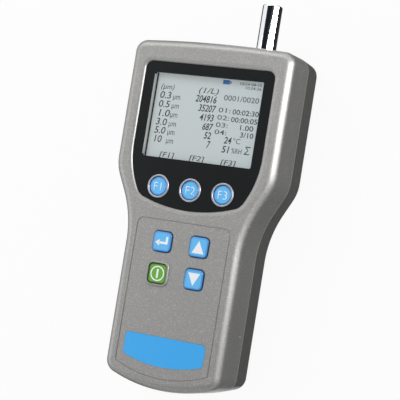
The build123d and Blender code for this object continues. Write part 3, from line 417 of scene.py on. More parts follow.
SILVER = FlakePaint("silver_paint", (0.285, 0.282, 0.276), 0.52, metallic=0.5, coat=0.4, coat_roughness=0.26,
                    mottle=0.05, relief=0.006 * MM)
# Darker copy of the silver paint for the rear cover and battery door: painted shade of the rear shell, which
# faces down away from the light.
SHADED_REAR_PAINT = FlakePaint("rear_paint_painted_shade", (0.17, 0.17, 0.165), 0.42, metallic=0.35, coat=0.3,
                       coat_roughness=0.25, mottle=0.05, relief=0.006 * MM)
# Light grey seal between the covers: partly its own colour, partly a painted highlight along the seam.
SEAL_AND_HIGHLIGHT = Finish("seam_seal_and_highlight", (0.45, 0.45, 0.44), 0.55)
PANEL_BLACK = Finish("panel_black", (0.010, 0.0122, 0.0125), 0.38, shine=0.12, mottle=0.12, grain=0.3 * MM)
PANE = ClearPane("display_pane", (0.10, 0.12, 0.12), 0.03, shine=1.0)
# The display's glow is its backlight and partly painted light against the recess's shade.
SCREEN = ScreenGlass("display_screen", (0.47, 0.515, 0.515), 0.4, far_colour=(0.45, 0.505, 0.53), shine=0.1,
                     glow=0.48)
INK = Finish("display_ink", (0.02, 0.024, 0.03), 0.6)
DIM_INK = Finish("display_dim_ink", (0.045, 0.052, 0.065), 0.6)
FAINT_INK = Finish("display_faint_ink", (0.12, 0.135, 0.155), 0.6)
# Painted shade: a dark strip on the display's left side for the shaded gap beside the opening's wall.
GAP_SHADE_BLACK = Finish("display_gap_painted_shade", (0.012, 0.013, 0.015), 0.5)
# Painted highlight: a light strip on the left wall of the window's opening, where that wall catches the
# light.
WALL_HIGHLIGHT = Finish("window_wall_painted_highlight", (0.75, 0.75, 0.74), 0.4, mottle=0.02)
KEY_BLUE = (0.12, 0.50, 0.93)
# Painted shade at the rounded edge of the blue caps.
KEY_BLUE_EDGE_SHADE = (0.03, 0.22, 0.62)
KEY_GREEN = (0.14, 0.42, 0.03)
# Painted shade at the rounded edge of the green cap.
KEY_GREEN_EDGE_SHADE = (0.05, 0.20, 0.01)
ICON_BLUE = Finish("display_blue", (0.03, 0.20, 0.60), 0.5)
LEGEND_WHITE = Finish("legend_white", (0.86, 0.88, 0.92), 0.35, coat=0.3, mottle=0.02)
RING = DrawnMetal("ring_silver", (0.40, 0.41, 0.47), 0.42, metallic=0.7, coat=0.5, mottle=0.05,
                  grain=0.3 * MM, relief=0.002 * MM, stretch=(1.0, 1.0, 1.0))
PLATE = Finish("name_plate_blue", (0.028, 0.385, 0.86), 0.42, coat=0.15, mottle=0.015, grain=0.5 * MM,
               relief=0.001 * MM)
CHROME = DrawnMetal("bright_tube", (0.86, 0.87, 0.90), 0.07, metallic=1.0, mottle=0.02, grain=0.25 * MM,
                    relief=0.0003 * MM)
RUBBER = Finish("black_rubber", (0.025, 0.025, 0.026), 0.75, grain=0.5 * MM, relief=0.01 * MM)
ANODISED = DrawnMetal("black_aluminium", (0.05, 0.05, 0.055), 0.4, metallic=0.8, grain=0.3 * MM)
BRASS = DrawnMetal("turned_brass", (0.72, 0.50, 0.18), 0.28, metallic=1.0, grain=0.2 * MM)
MIRROR = DrawnMetal("collecting_mirror", (0.92, 0.92, 0.93), 0.04, metallic=1.0, mottle=0.01,
                    relief=0.0002 * MM)
STEEL = DrawnMetal("zinc_steel", (0.55, 0.56, 0.57), 0.32, metallic=1.0, grain=0.2 * MM)
NICKEL = DrawnMetal("nickel_contact", (0.70, 0.68, 0.62), 0.25, metallic=1.0, grain=0.2 * MM)
PUMP = Finish("pump_black", (0.04, 0.04, 0.045), 0.45, grain=0.6 * MM)
SILICONE = Finish("clear_hose", (0.60, 0.61, 0.58), 0.4, coat=0.2, grain=1.0 * MM)
WHITE_PLASTIC = Finish("white_plastic", (0.78, 0.78, 0.76), 0.4, mottle=0.02)
SOLDER_MASK = Finish("solder_mask", (0.02, 0.16, 0.06), 0.35, coat=0.4, mottle=0.2, grain=1.5 * MM)
CHIP_BLACK = Finish("chip_black", (0.025, 0.025, 0.027), 0.5, mottle=0.15, grain=0.2 * MM)
BATTERY_WRAP = Finish("battery_wrap", (0.05, 0.14, 0.42), 0.3, coat=0.5, mottle=0.04, grain=1.0 * MM)


class Palette:
    """Builds each finish once and hands out its material."""

    def __init__(self) -> None:
        """Start with nothing built."""
        self.built: dict[Finish, bpy.types.Material] = {}

    def material(self, finish: Finish) -> bpy.types.Material:
        """The material of a finish, made on first use."""
        if finish not in self.built:
            self.built[finish] = finish.build()
        return self.built[finish]

    def dress(self, piece: bpy.types.Object, finish: Finish) -> None:
        """Make a finish the only material of a piece."""
        piece.data.materials.clear()
        piece.data.materials.append(self.material(finish))


# ------------------------------------------------------------------------------------------------
# Modelling by hand
# ------------------------------------------------------------------------------------------------

def deselect() -> None:
    """Leave object mode with nothing selected."""
    if bpy.context.object and bpy.context.object.mode != "OBJECT":
        bpy.ops.object.mode_set(mode="OBJECT")
    bpy.ops.object.select_all(action="DESELECT")


def pick(piece: bpy.types.Object) -> None:
    """Select one object and make it active."""
    deselect()
    piece.select_set(True)
    bpy.context.view_layer.objects.active = piece


def settle(piece: bpy.types.Object) -> None:
    """Move a piece's place, turn and size into its mesh."""
    pick(piece)
    bpy.ops.object.transform_apply(location=True, rotation=True, scale=True)


@contextmanager
def editing(piece: bpy.types.Object) -> Iterator[None]:
    """Hold one mesh in edit mode, with all of it selected at the start."""
    pick(piece)
    bpy.ops.object.mode_set(mode="EDIT")
    bpy.ops.mesh.select_all(action="SELECT")
    yield
    bpy.ops.object.mode_set(mode="OBJECT")


def joined(pieces: list[bpy.types.Object]) -> bpy.types.Object:
    """Make one object of several.

    Args:
        pieces: Objects whose meshes are final.

    Returns:
        The first of them, which now holds all.
    """
    pick(pieces[0])
    for piece in pieces[1:]:
        piece.select_set(True)
    bpy.ops.object.join()
    return pieces[0]


def thicken(piece: bpy.types.Object, thickness: float) -> None:
    """Draw a flat mesh up into a closed one.

    Args:
        piece: A flat mesh that faces up.
        thickness: Height to add, in metres.
    """
    with editing(piece):
        bpy.ops.mesh.extrude_region_move(TRANSFORM_OT_translate={"value": (0, 0, thickness)})
        bpy.ops.mesh.select_all(action="SELECT")
        bpy.ops.mesh.normals_make_consistent(inside=False)


class Side(Enum):
    """Where a line of type is held."""

    LEFT = "LEFT"
    CENTRE = "CENTER"
    RIGHT = "RIGHT"


def lettering(text: str, at: Point, height: float, thickness: float, side: Side = Side.CENTRE,
              weight: float = 0.0, slant: float = 0.0, pitch: float | None = None) -> bpy.types.Object:
    """Raised figures on a face that looks up.

    Args:
        text: The figures.
        at: Where the line is held, at half its height, on the face.
        height: Height of a capital in metres.
        thickness: Height of the print in metres.
        side: Which end is held at that place.
        weight: How far the strokes are made bolder, as a share of the size.
        slant: Slope of the figures.
        pitch: Mean width of a character in metres, or None for the type's own.

    Returns:
        The mesh object.
    """
    capital_share = 0.729
    deselect()
    bpy.ops.object.text_add(location=(0, 0, 0))
    line = bpy.context.object
    line.data.body = text
    line.data.size = height / capital_share
    line.data.align_x = side.value
    line.data.offset = weight * line.data.size
    line.data.shear = slant
    line.data.resolution_u = 3
    bpy.ops.object.convert(target="MESH")
    line = bpy.context.object
    if pitch:
        line.scale = (pitch * len(text) / line.dimensions.x, 1, 1)
    line.location = (at[0], at[1] - height / 2, at[2])
    settle(line)
    with editing(line):
        bpy.ops.mesh.remove_doubles(threshold=0.000001)
    thicken(line, thickness)
    return line


def tile(at: Point, width: float, height: float, thickness: float, corner: float) -> bpy.types.Object:
    """A thin rounded tile on a face that looks up.

    Args:
        at: Middle of its underside.
        width: Size along X in metres.
        height: Size along Y in metres.
        thickness: Size along Z in metres.
        corner: Radius of its corners in metres.

    Returns:
        The mesh object.
    """
    deselect()
    bpy.ops.mesh.primitive_plane_add(size=1, location=at)
    made = bpy.context.object
    made.scale = (width, height, 1)
    settle(made)
    with editing(made):
        bpy.ops.mesh.bevel(offset=corner, segments=5, affect="VERTICES")
    thicken(made, thickness)
    return made


def wedge(at: Point, width: float, height: float, thickness: float, turn: float,
          corner: float) -> bpy.types.Object:
    """A thin triangle with softened corners on a face that looks up.

    Args:
        at: Middle of its underside.
        width: Length of its base in metres.
        height: Distance from base to tip in metres.
        thickness: Size along Z in metres.
        turn: Angle of the tip from +Y in radians, counter-clockwise.
        corner: Radius of its corners in metres.

    Returns:
        The mesh object.
    """
    deselect()
    bpy.ops.mesh.primitive_circle_add(vertices=3, radius=1, fill_type="NGON", location=(0, 0, 0))
    made = bpy.context.object
    tip, base = max(v.co.y for v in made.data.vertices), min(v.co.y for v in made.data.vertices)
    across = 2 * max(abs(v.co.x) for v in made.data.vertices)
    made.scale = (width / across, height / (tip - base), 1)
    settle(made)
    low = min(v.co.y for v in made.data.vertices)
    made.location = (0, -low - height / 2, 0)
    settle(made)
    made.rotation_euler = (0, 0, turn)
    settle(made)
    made.location = at
    settle(made)
    with editing(made):
        bpy.ops.mesh.bevel(offset=corner, segments=3, affect="VERTICES")
    thicken(made, thickness)
    return made


def hoop(at: Point, radius: float, stroke: float, thickness: float) -> bpy.types.Object:
    """A thin flat ring on a face that looks up.

    Args:
        at: Middle of its underside.
        radius: Outer radius in metres.
        stroke: Width of the ring in metres.
        thickness: Size along Z in metres.

    Returns:
        The mesh object.
    """
    deselect()
    bpy.ops.mesh.primitive_circle_add(vertices=64, radius=radius, fill_type="NGON", location=at)
    made = bpy.context.object
    settle(made)
    with editing(made):
        bpy.ops.mesh.inset(thickness=stroke)
        bpy.ops.mesh.delete(type="FACE")
    thicken(made, thickness)
    return made


# ------------------------------------------------------------------------------------------------
# Sub-assemblies
# ------------------------------------------------------------------------------------------------

@dataclass
class Assembly:
    """A group of the model's nodes, with their finishes and added pieces.

    Attributes:
        palette: Source of materials.
        finishes: The nodes that each finish covers.
    """

    palette: Palette
    finishes: ClassVar[dict[Finish, tuple[str, ...]]] = {}

    def dress(self) -> None:
        """Give each node its finish."""
        for finish, names in self.finishes.items():
            for name in names:
                self.palette.dress(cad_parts[name], finish)
                log.info("%s: finish %s on %s", type(self).__name__, finish.name, name)

    def add_pieces(self) -> None:
        """Model what the plain nodes lack, which by default is nothing."""

    def build(self) -> None:
        """Dress the nodes and add the pieces."""
        self.dress()
        self.add_pieces()

    def hand_over(self, piece: bpy.types.Object, name: str, finish: Finish, body: str, slot: str) -> None:
        """Name a finished piece, dress it and tie it to its body.

        Args:
            piece: The mesh object.
            name: Its name.
            finish: Its finish.
            body: The body that it moves with.
            slot: The record's material slot nearest to it; not used.
        """
        piece.name = name
        piece.data.name = name
        self.palette.dress(piece, finish)
        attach(piece, body)
        log.info("%s: piece %s on %s, %d faces", type(self).__name__, name, body, len(piece.data.polygons))


@dataclass
class Casing(Assembly):
    """Covers with their seal and screws, and the thread of the tripod insert.

    Attributes:
        screw_places: Middles of the cover screws, as x and y.
        face_radius: Radius of a screw's driving face.
        face_height: Height of that face over the plain head.
        face_bevel: Bevel of its edges.
        slot_length: Length of each arm of the cross recess.
        slot_width: Width of an arm.
        slot_corner: Radius of an arm's corners.
        thread_radius: Radius of the insert's bore.
        thread_depth: Height of the thread.
        thread_pitch: Distance of its turns.
        thread_turns: How many turns it has.
        thread_root: How deep the thread's foot lies in the wall.
    """

    finishes: ClassVar[dict[Finish, tuple[str, ...]]] = {
        SILVER: ("front_cover",), SHADED_REAR_PAINT: ("rear_cover",), SEAL_AND_HIGHLIGHT: ("cover_gasket",),
        STEEL: ("cover_screws",), BRASS: ("tripod_insert",)}
    screw_places: tuple[tuple[float, float], ...] = tuple(
        (side * x * MM, y * MM) for side in (-1, 1)
        for x, y in ((43.5, 80.35), (33.5, -16.85), (30.0, -104.85)))
    face_radius: float = 2.5 * MM
    face_height: float = 0.5 * MM
    face_bevel: float = 0.15 * MM
    slot_length: float = 3.4 * MM
    slot_width: float = 0.75 * MM
    slot_corner: float = 0.1 * MM
    thread_radius: float = 2.6 * MM
    thread_depth: float = 0.35 * MM
    thread_pitch: float = 1.27 * MM
    thread_turns: int = 5
    thread_root: float = 0.02 * MM

    def screw_face(self, level: float) -> bpy.types.Object:
        """Driving face with a cross recess, under the origin.

        Args:
            level: Z of the plain head, which looks down.

        Returns:
            The mesh object.
        """
        deselect()
        bpy.ops.mesh.primitive_cylinder_add(vertices=32, radius=self.face_radius, depth=self.face_height,
                                            location=(0, 0, level - self.face_height / 2))
        face = bpy.context.object
        settle(face)
        with editing(face):
            bpy.ops.mesh.bevel(offset=self.face_bevel, segments=2)
        for width, length in ((self.slot_length, self.slot_width), (self.slot_width, self.slot_length)):
            arm = tile((0, 0, level - 2 * self.face_height), width, length, 1.8 * self.face_height,
                       self.slot_corner)
            pick(face)
            cut = face.modifiers.new("recess", "BOOLEAN")
            cut.operation = "DIFFERENCE"
            cut.object = arm
            bpy.ops.object.modifier_apply(modifier=cut.name)
            bpy.data.objects.remove(arm)
        return face

    def thread(self, centre: Vector, start: float) -> bpy.types.Object:
        """Helical thread on the wall of a bore.

        Args:
            centre: A point on the bore's axis.
            start: Z of the first turn.

        Returns:
            The mesh object.
        """
        deselect()
        bpy.ops.mesh.primitive_circle_add(vertices=3, radius=self.thread_depth / 1.5, fill_type="NOTHING",
                                          location=(0, 0, 0), rotation=(0, -math.pi / 2, -math.pi / 2))
        ridge = bpy.context.object
        settle(ridge)
        across = max(v.co.x for v in ridge.data.vertices)
        ridge.location = (self.thread_radius - across + self.thread_root, 0, 0)
        settle(ridge)
        turn = ridge.modifiers.new("turns", "SCREW")
        turn.axis = "Z"
        turn.screw_offset = self.thread_pitch
        turn.iterations = self.thread_turns
        turn.steps = turn.render_steps = 32
        turn.use_merge_vertices = False
        pick(ridge)
        bpy.ops.object.modifier_apply(modifier=turn.name)
        ridge.location = (centre.x, centre.y, start)
        settle(ridge)
        with editing(ridge):
            bpy.ops.mesh.fill_holes(sides=0)
            bpy.ops.mesh.select_all(action="SELECT")
            bpy.ops.mesh.normals_make_consistent(inside=False)
        return ridge

    def add_pieces(self) -> None:
        """Model the screws' driving faces and the thread."""
        low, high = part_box("cover_screws")
        pattern = self.screw_face(low.z)
        faces = []
        for x, y in self.screw_places:
            face = pattern.copy()
            face.data = pattern.data.copy()
            bpy.context.scene.collection.objects.link(face)
            face.location = (x, y, 0)
            settle(face)
            faces.append(face)
        bpy.data.objects.remove(pattern)
        self.hand_over(joined(faces), "screw_recesses", STEEL, "casing", "steel_part")
        low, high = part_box("tripod_insert")
        self.hand_over(self.thread((low + high) / 2, low.z + self.thread_pitch / 2), "tripod_thread", BRASS,
                       "casing", "brass_part")


@dataclass(frozen=True)
class Type:
    """How a line of figures on the display is drawn.

    Attributes:
        height: Height of a capital in millimetres.
        pitch: Mean width of a character in millimetres.
        side: Which end of the line is held.
        weight: Extra boldness.
        slant: Slope.
    """

    height: float
    pitch: float
    side: Side
    weight: float = 0.0
    slant: float = 0.0


SIZE_TYPE = Type(4.3, 2.45, Side.LEFT, 0.008, 0.12)
SIZE_UNIT_TYPE = Type(3.7, 2.4, Side.LEFT, 0.006)
COUNT_TYPE = Type(4.2, 2.3, Side.RIGHT, 0.016, 0.2)
STATUS_TYPE = Type(3.1, 2.1, Side.RIGHT, 0.012)
CLIMATE_TYPE = Type(4.1, 2.4, Side.RIGHT, 0.016, 0.15)
SIZE_HEAD_TYPE = Type(3.3, 2.2, Side.CENTRE, 0.008, 0.2)
COUNT_HEAD_TYPE = Type(3.4, 2.6, Side.CENTRE, 0.008, 0.2)
PLACE_TYPE = Type(3.3, 2.5, Side.CENTRE, 0.008)
STATUS_HEAD_TYPE = Type(2.9, 2.6, Side.CENTRE, 0.008)
DEGREE_TYPE = Type(3.2, 2.3, Side.LEFT, 0.008)
HUMIDITY_TYPE = Type(3.1, 2.2, Side.LEFT, 0.008)
SUM_TYPE = Type(4.8, 3.9, Side.CENTRE, 0.008, 0.1)
CLOCK_TYPE = Type(1.7, 1.25, Side.RIGHT, 0.008)
KEY_HINT_TYPE = Type(3.2, 2.5, Side.CENTRE, 0.008, 0.15)

Line = tuple[str, float, float, Type]


@dataclass
class Display(Assembly):
    """Black panel, clear window and display with its readings.

    Places on the display are given as u from its left side and v from its top, both from 0 to 1.

    Attributes:
        half_width: Half the window's opening.
        top: Y of the opening's upper side.
        height: Height of the opening.
        gap_shade_width: Width of the dark strip of painted shade at the display's left side, where the gap
            beside the opening's wall lies in shade.
        ink: Thickness of the figures.
        rows: v of each line of counts.
        sizes: Particle sizes.
        counts: What was counted of each size.
        size_column: u of the sizes.
        unit_column: u of their units.
        unit_drop: How much lower the units stand.
        count_column: u of the counts.
        status: Times, volume and sample, each with its u, v and type.
        climate: Temperature and humidity, in the same way.
        captions: Headings, units and hints, in the same way.
        icon_parts: Cell and cap of the battery sign: u, v, width, height and corner.
        highlight_level: Z where the light strip of painted highlight on the opening's left wall starts.
        highlight_height: Height of that painted highlight strip.
        highlight_width: Width of that painted highlight strip.
        highlight_gap: How much shorter it is than the opening.
        gap_shade_corner: Corner radius of the painted shade strip.
        highlight_corner: Corner radius of that painted highlight strip.
    """

    finishes: ClassVar[dict[Finish, tuple[str, ...]]] = {
        PANEL_BLACK: ("display_bezel",), PANE: ("display_window",), SCREEN: ("lcd_panel",),
        WHITE_PLASTIC: ("lcd_frame",), STEEL: ("display_screws",)}
    half_width: float = 35.7 * MM
    top: float = 68.85 * MM
    height: float = 51.0 * MM
    gap_shade_width: float = 1.1 * MM
    ink: float = 0.03 * MM
    rows: tuple[float, ...] = (0.252, 0.358, 0.465, 0.571, 0.671, 0.774)
    sizes: tuple[str, ...] = ("0.3", "0.5", "1.0", "3.0", "5.0", "10")
    counts: tuple[str, ...] = ("204816", "35207", "4193", "687", "52", "7")
    size_column: float = 0.037
    unit_column: float = 0.162
    unit_drop: float = 0.008
    count_column: float = 0.574
    status: tuple[Line, ...] = (
        ("00:02:30", 0.978, 0.366, STATUS_TYPE), ("00:00:05", 0.978, 0.455, STATUS_TYPE),
        ("1.00", 0.95, 0.538, STATUS_TYPE), ("3/10", 0.96, 0.620, STATUS_TYPE))
    climate: tuple[Line, ...] = (("24", 0.768, 0.700, CLIMATE_TYPE), ("51", 0.768, 0.806, CLIMATE_TYPE))
    captions: tuple[Line, ...] = (
        ("(µm)", 0.10, 0.150, SIZE_HEAD_TYPE), ("(1/L)", 0.487, 0.152, COUNT_HEAD_TYPE),
        ("0001/0020", 0.80, 0.212, PLACE_TYPE), ("01:", 0.665, 0.360, STATUS_HEAD_TYPE),
        ("02:", 0.663, 0.447, STATUS_HEAD_TYPE), ("03:", 0.661, 0.533, STATUS_HEAD_TYPE),
        ("04:", 0.659, 0.617, STATUS_HEAD_TYPE), ("°C", 0.782, 0.700, DEGREE_TYPE),
        ("%RH", 0.782, 0.812, HUMIDITY_TYPE), ("Σ", 0.922, 0.795, SUM_TYPE),
        ("10/24 08-15", 0.965, 0.033, CLOCK_TYPE), ("10:24:36", 0.965, 0.078, CLOCK_TYPE),
        ("[F1]", 0.192, 0.952, KEY_HINT_TYPE), ("[F2]", 0.475, 0.952, KEY_HINT_TYPE),
        ("[F3]", 0.768, 0.957, KEY_HINT_TYPE))
    icon_parts: tuple[tuple[float, ...], ...] = (
        (0.640, 0.034, 4.4 * MM, 2.6 * MM, 0.3 * MM), (0.680, 0.034, 0.8 * MM, 1.4 * MM, 0.1 * MM))
    highlight_level: float = 45.2 * MM
    highlight_height: float = 2.0 * MM
    highlight_width: float = 0.06 * MM
    highlight_gap: float = 2.4 * MM
    gap_shade_corner: float = 0.02 * MM
    highlight_corner: float = 0.01 * MM

    def at(self, u: float, v: float) -> Point:
        """Point on the display's face."""
        left = self.gap_shade_width - self.half_width
        return (left + u * (self.half_width - left), self.top - v * self.height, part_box("lcd_panel")[1].z)

    def line(self, text: str, u: float, v: float, kind: Type) -> bpy.types.Object:
        """One line of figures.

        Args:
            text: The figures.
            u: Where it is held, across.
            v: Where it is held, down.
            kind: How it is drawn.

        Returns:
            The mesh object.
        """
        return lettering(text, self.at(u, v), kind.height * MM, self.ink, kind.side, kind.weight, kind.slant,
                         kind.pitch * MM)

    def add_readings(self) -> None:
        """Model all readings as a few pieces."""
        sizes = [(text, self.size_column, v, SIZE_TYPE) for text, v in zip(self.sizes, self.rows)]
        units = [("µm", self.unit_column, v + self.unit_drop, SIZE_UNIT_TYPE) for v in self.rows]
        counts = [(text, self.count_column, v, COUNT_TYPE) for text, v in zip(self.counts, self.rows)]
        for name, lines, finish in (("reading_sizes", sizes, DIM_INK), ("reading_units", units, FAINT_INK),
                                    ("reading_counts", counts, INK), ("reading_status", self.status, DIM_INK),
                                    ("reading_climate", self.climate, INK),
                                    ("reading_captions", self.captions, FAINT_INK)):
            made = joined([self.line(*line) for line in lines])
            self.hand_over(made, name, finish, "casing", "lcd_glass")
        icon = joined([tile(self.at(u, v), width, height, self.ink, corner)
                       for u, v, width, height, corner in self.icon_parts])
        self.hand_over(icon, "reading_battery_icon", ICON_BLUE, "casing", "lcd_glass")

    def add_pieces(self) -> None:
        """Add the readings, a dark strip of painted shade along the display's left side and a light strip of
        painted highlight on the opening's left wall.
        """
        self.add_readings()
        middle = self.top - self.height / 2
        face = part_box("lcd_panel")[1].z
        # Dark strip of painted shade along the display's left side.
        gap_shade_strip = tile((-self.half_width + self.gap_shade_width / 2, middle, face), self.gap_shade_width, self.height, self.ink,
                      self.gap_shade_corner)
        self.hand_over(gap_shade_strip, "display_gap_shade", GAP_SHADE_BLACK, "casing", "black_plastic")
        # Light strip of painted highlight on the opening's left wall.
        highlight_strip = tile((-self.half_width + self.highlight_width / 2, middle, self.highlight_level), self.highlight_width,
                    self.height - self.highlight_gap, self.highlight_height, self.highlight_corner)
        self.hand_over(highlight_strip, "window_wall_highlight", WALL_HIGHLIGHT, "casing", "silver_paint")


class Mark(Enum):
    """What is printed on a key."""

    ONE = "F1"
    TWO = "F2"
    THREE = "F3"
    ENTER = "enter"
    UP = "up"
    DOWN = "down"
    POWER = "power"


@dataclass
class Keypad(Assembly):
    """Key caps with their white marks, the silver rings and the bare name plate.

    Attributes:
        print_height: Thickness of the print in metres.
        letter_height: Height of the letters on the round caps.
        arrow_width: Base of the up and down marks.
        arrow_height: Height of the up and down marks.
        ring_radius: Outer radius of the power mark.
        stroke: Width of the power mark's ring.
        bar_width: Width of the power mark's bar.
        bar_height: Height of that bar.
        bar_corner: Corner radius of that bar.
        arrow_corner: Corner radius of the up and down marks.
        enter_head: Tip of the enter mark: x and y from the cap's middle, base and length.
        enter_shaft: Its level arm: x and y from the cap's middle, width and height.
        enter_riser: Its upright arm, in the same way.
        enter_corner: Corner radius of these three.
        round_cap: How square a round cap's shading is, 2 for a circle.
        square_cap: The same of a square cap.
        cap_roughness: Roughness of the caps.
        flange: How far a key's flange stands out round its cap.
        marks: The mark of each key.
    """

    finishes: ClassVar[dict[Finish, tuple[str, ...]]] = {RING: ("key_rings",), PLATE: ("name_plate",)}
    print_height: float = 0.03 * MM
    letter_height: float = 5.3 * MM
    arrow_width: float = 7.7 * MM
    arrow_height: float = 7.5 * MM
    ring_radius: float = 4.5 * MM
    stroke: float = 0.75 * MM
    bar_width: float = 1.2 * MM
    bar_height: float = 5.4 * MM
    bar_corner: float = 0.3 * MM
    arrow_corner: float = 0.15 * MM
    enter_head: tuple[float, ...] = (-2.9 * MM, -0.7 * MM, 4.0 * MM, 2.8 * MM)
    enter_shaft: tuple[float, ...] = (1.0 * MM, -0.7 * MM, 5.6 * MM, 1.4 * MM)
    enter_riser: tuple[float, ...] = (3.1 * MM, 1.0 * MM, 1.4 * MM, 4.2 * MM)
    enter_corner: float = 0.1 * MM
    round_cap: float = 2.0
    square_cap: float = 7.0
    cap_roughness: float = 0.33
    flange: float = 1.4 * MM
    marks: dict[str, Mark] = field(default_factory=lambda: {
        "key_f1": Mark.ONE, "key_f2": Mark.TWO, "key_f3": Mark.THREE, "key_enter": Mark.ENTER,
        "key_up": Mark.UP, "key_down": Mark.DOWN, "key_power": Mark.POWER})

    def cap_finish(self, name: str, mark: Mark, centre: Point, half: float) -> KeyPlasticWithShade:
        """Finish of one cap, with painted shade toward its edge, centred on it.

        Args:
            name: The key's node.
            mark: What is printed on it.
            centre: Middle of its face.
            half: Half its width.

        Returns:
            The finish.
        """
        power = self.round_cap if mark in (Mark.ONE, Mark.TWO, Mark.THREE) else self.square_cap
        colour, edge = (KEY_GREEN, KEY_GREEN_EDGE_SHADE) if mark is Mark.POWER else (KEY_BLUE, KEY_BLUE_EDGE_SHADE)
        return KeyPlasticWithShade(name + "_plastic", colour, self.cap_roughness, coat=0.3, mottle=0.03, edge=edge,
                          centre=centre, half=half, power=power)

    def mark_mesh(self, mark: Mark, at: Point) -> bpy.types.Object:
        """Model the print of one key.

        Args:
            mark: What to print.
            at: Middle of the cap's face.

        Returns:
            The mesh object.
        """
        thin = self.print_height
        x, y, z = at
        if mark is Mark.UP or mark is Mark.DOWN:
            turn = 0.0 if mark is Mark.UP else math.pi
            return wedge(at, self.arrow_width, self.arrow_height, thin, turn, self.arrow_corner)
        if mark is Mark.POWER:
            bar = tile(at, self.bar_width, self.bar_height, thin, self.bar_corner)
            return joined([hoop(at, self.ring_radius, self.stroke, thin), bar])
        if mark is Mark.ENTER:
            dx, dy, base, length = self.enter_head
            head = wedge((x + dx, y + dy, z), base, length, thin, math.pi / 2, self.enter_corner)
            dx, dy, width, height = self.enter_shaft
            shaft = tile((x + dx, y + dy, z), width, height, thin, self.enter_corner)
            dx, dy, width, height = self.enter_riser
            riser = tile((x + dx, y + dy, z + 0.2 * thin), width, height, thin, self.enter_corner)
            return joined([head, shaft, riser])
        return lettering(mark.value, at, self.letter_height, thin, weight=-0.012)

    def add_pieces(self) -> None:
        """Dress each cap and print its mark."""
        for name, mark in self.marks.items():
            low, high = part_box(name)
            at = ((low.x + high.x) / 2, (low.y + high.y) / 2, high.z)
            cap_half = (high.x - low.x) / 2 - self.flange
            self.palette.dress(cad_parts[name], self.cap_finish(name, mark, at, cap_half))
            slot = "key_green" if mark is Mark.POWER else "key_blue"
            label = "mark_" + name.removeprefix("key_")
            self.hand_over(self.mark_mesh(mark, at), label, LEGEND_WHITE, name, slot)


@dataclass
class Airway(Assembly):
    """Inlet probe with its seal, hoses, pump and filter."""

    finishes: ClassVar[dict[Finish, tuple[str, ...]]] = {
        CHROME: ("inlet_probe",), RUBBER: ("inlet_seal", "pump_cradle"),
        SILICONE: ("sample_hose", "exhaust_hose"), PUMP: ("air_pump",),
        STEEL: ("pump_clamp", "clamp_screws"), WHITE_PLASTIC: ("exhaust_filter",)}


@dataclass
class Sensor(Assembly):
    """Laser, optical block, mirror, detector and light trap."""

    finishes: ClassVar[dict[Finish, tuple[str, ...]]] = {
        ANODISED: ("optical_block", "light_trap"), BRASS: ("laser_module",), MIRROR: ("collecting_mirror",),
        STEEL: ("photodetector", "sensor_screws"), SOLDER_MASK: ("detector_board", "humidity_sensor")}


@dataclass
class Electronics(Assembly):
    """Circuit boards with their parts, sockets and screws."""

    finishes: ClassVar[dict[Finish, tuple[str, ...]]] = {
        SOLDER_MASK: ("display_board", "main_board"),
        CHIP_BLACK: ("tact_switches", "board_chips", "board_connector", "buzzer", "dc_jack"),
        STEEL: ("coin_cell", "usb_socket", "board_screws")}


@dataclass
class Power(Assembly):
    """Battery with its contacts and sliding door."""

    finishes: ClassVar[dict[Finish, tuple[str, ...]]] = {
        SHADED_REAR_PAINT: ("battery_door",), BATTERY_WRAP: ("battery_pack",), NICKEL: ("battery_contacts",)}


# ------------------------------------------------------------------------------------------------
# Studio
# ------------------------------------------------------------------------------------------------

@dataclass(frozen=True)
class Lamp:
    """A soft box that faces the object.

    Attributes:
        name: Name of the lamp.
        direction: Where it stands, seen from the object.
        distance: How far away, in metres.
        size: Its two sides in metres.
        watts: Its power.
        highlight_only: True if it shows in shiny surfaces and lights nothing else.
    """

    name: str
    direction: Point
    distance: float
    size: tuple[float, float]
    watts: float
    highlight_only: bool = False

    def build(self) -> None:
        """Hang the lamp."""
        data = bpy.data.lights.new(self.name, "AREA")
        data.shape = "RECTANGLE"
        data.size, data.size_y = self.size
        data.energy = self.watts
        made = bpy.data.objects.new(self.name, data)
        bpy.context.scene.collection.objects.link(made)
        away = Vector(self.direction).normalized()
        made.location = away * self.distance
        made.rotation_mode = "QUATERNION"
        made.rotation_quaternion = away.to_track_quat("Z", "Y")
        made.visible_diffuse = not self.highlight_only


@dataclass(frozen=True)
class Card:
    """A level dark card that only shiny surfaces show.

    Attributes:
        name: Name of the card.
        centre: Its middle in metres.
        width: Size along X in metres.
        length: Size along Y in metres.
        colour: Linear colour that it shows.
        thickness: Size along Z in metres.
        corner: Radius of its corners in metres.
    """

    name: str
    centre: Point
    width: float
    length: float
    colour: Colour
    thickness: float = 1.0 * MM
    corner: float = 20 * MM

    def build(self) -> None:
        """Lay the card out, unseen by the camera."""
        made = tile(self.centre, self.width, self.length, self.thickness, self.corner)
        made.name = self.name
        graph = Graph(self.name)
        glow = graph.node("ShaderNodeEmission", {"Color": (*self.colour, 1), "Strength": 1.0})
        graph.join(glow.outputs["Emission"], graph.output.inputs["Surface"])
        made.data.materials.append(graph.material)
        made.visible_camera = False
        made.visible_diffuse = False
        made.visible_transmission = False
        made.visible_shadow = False


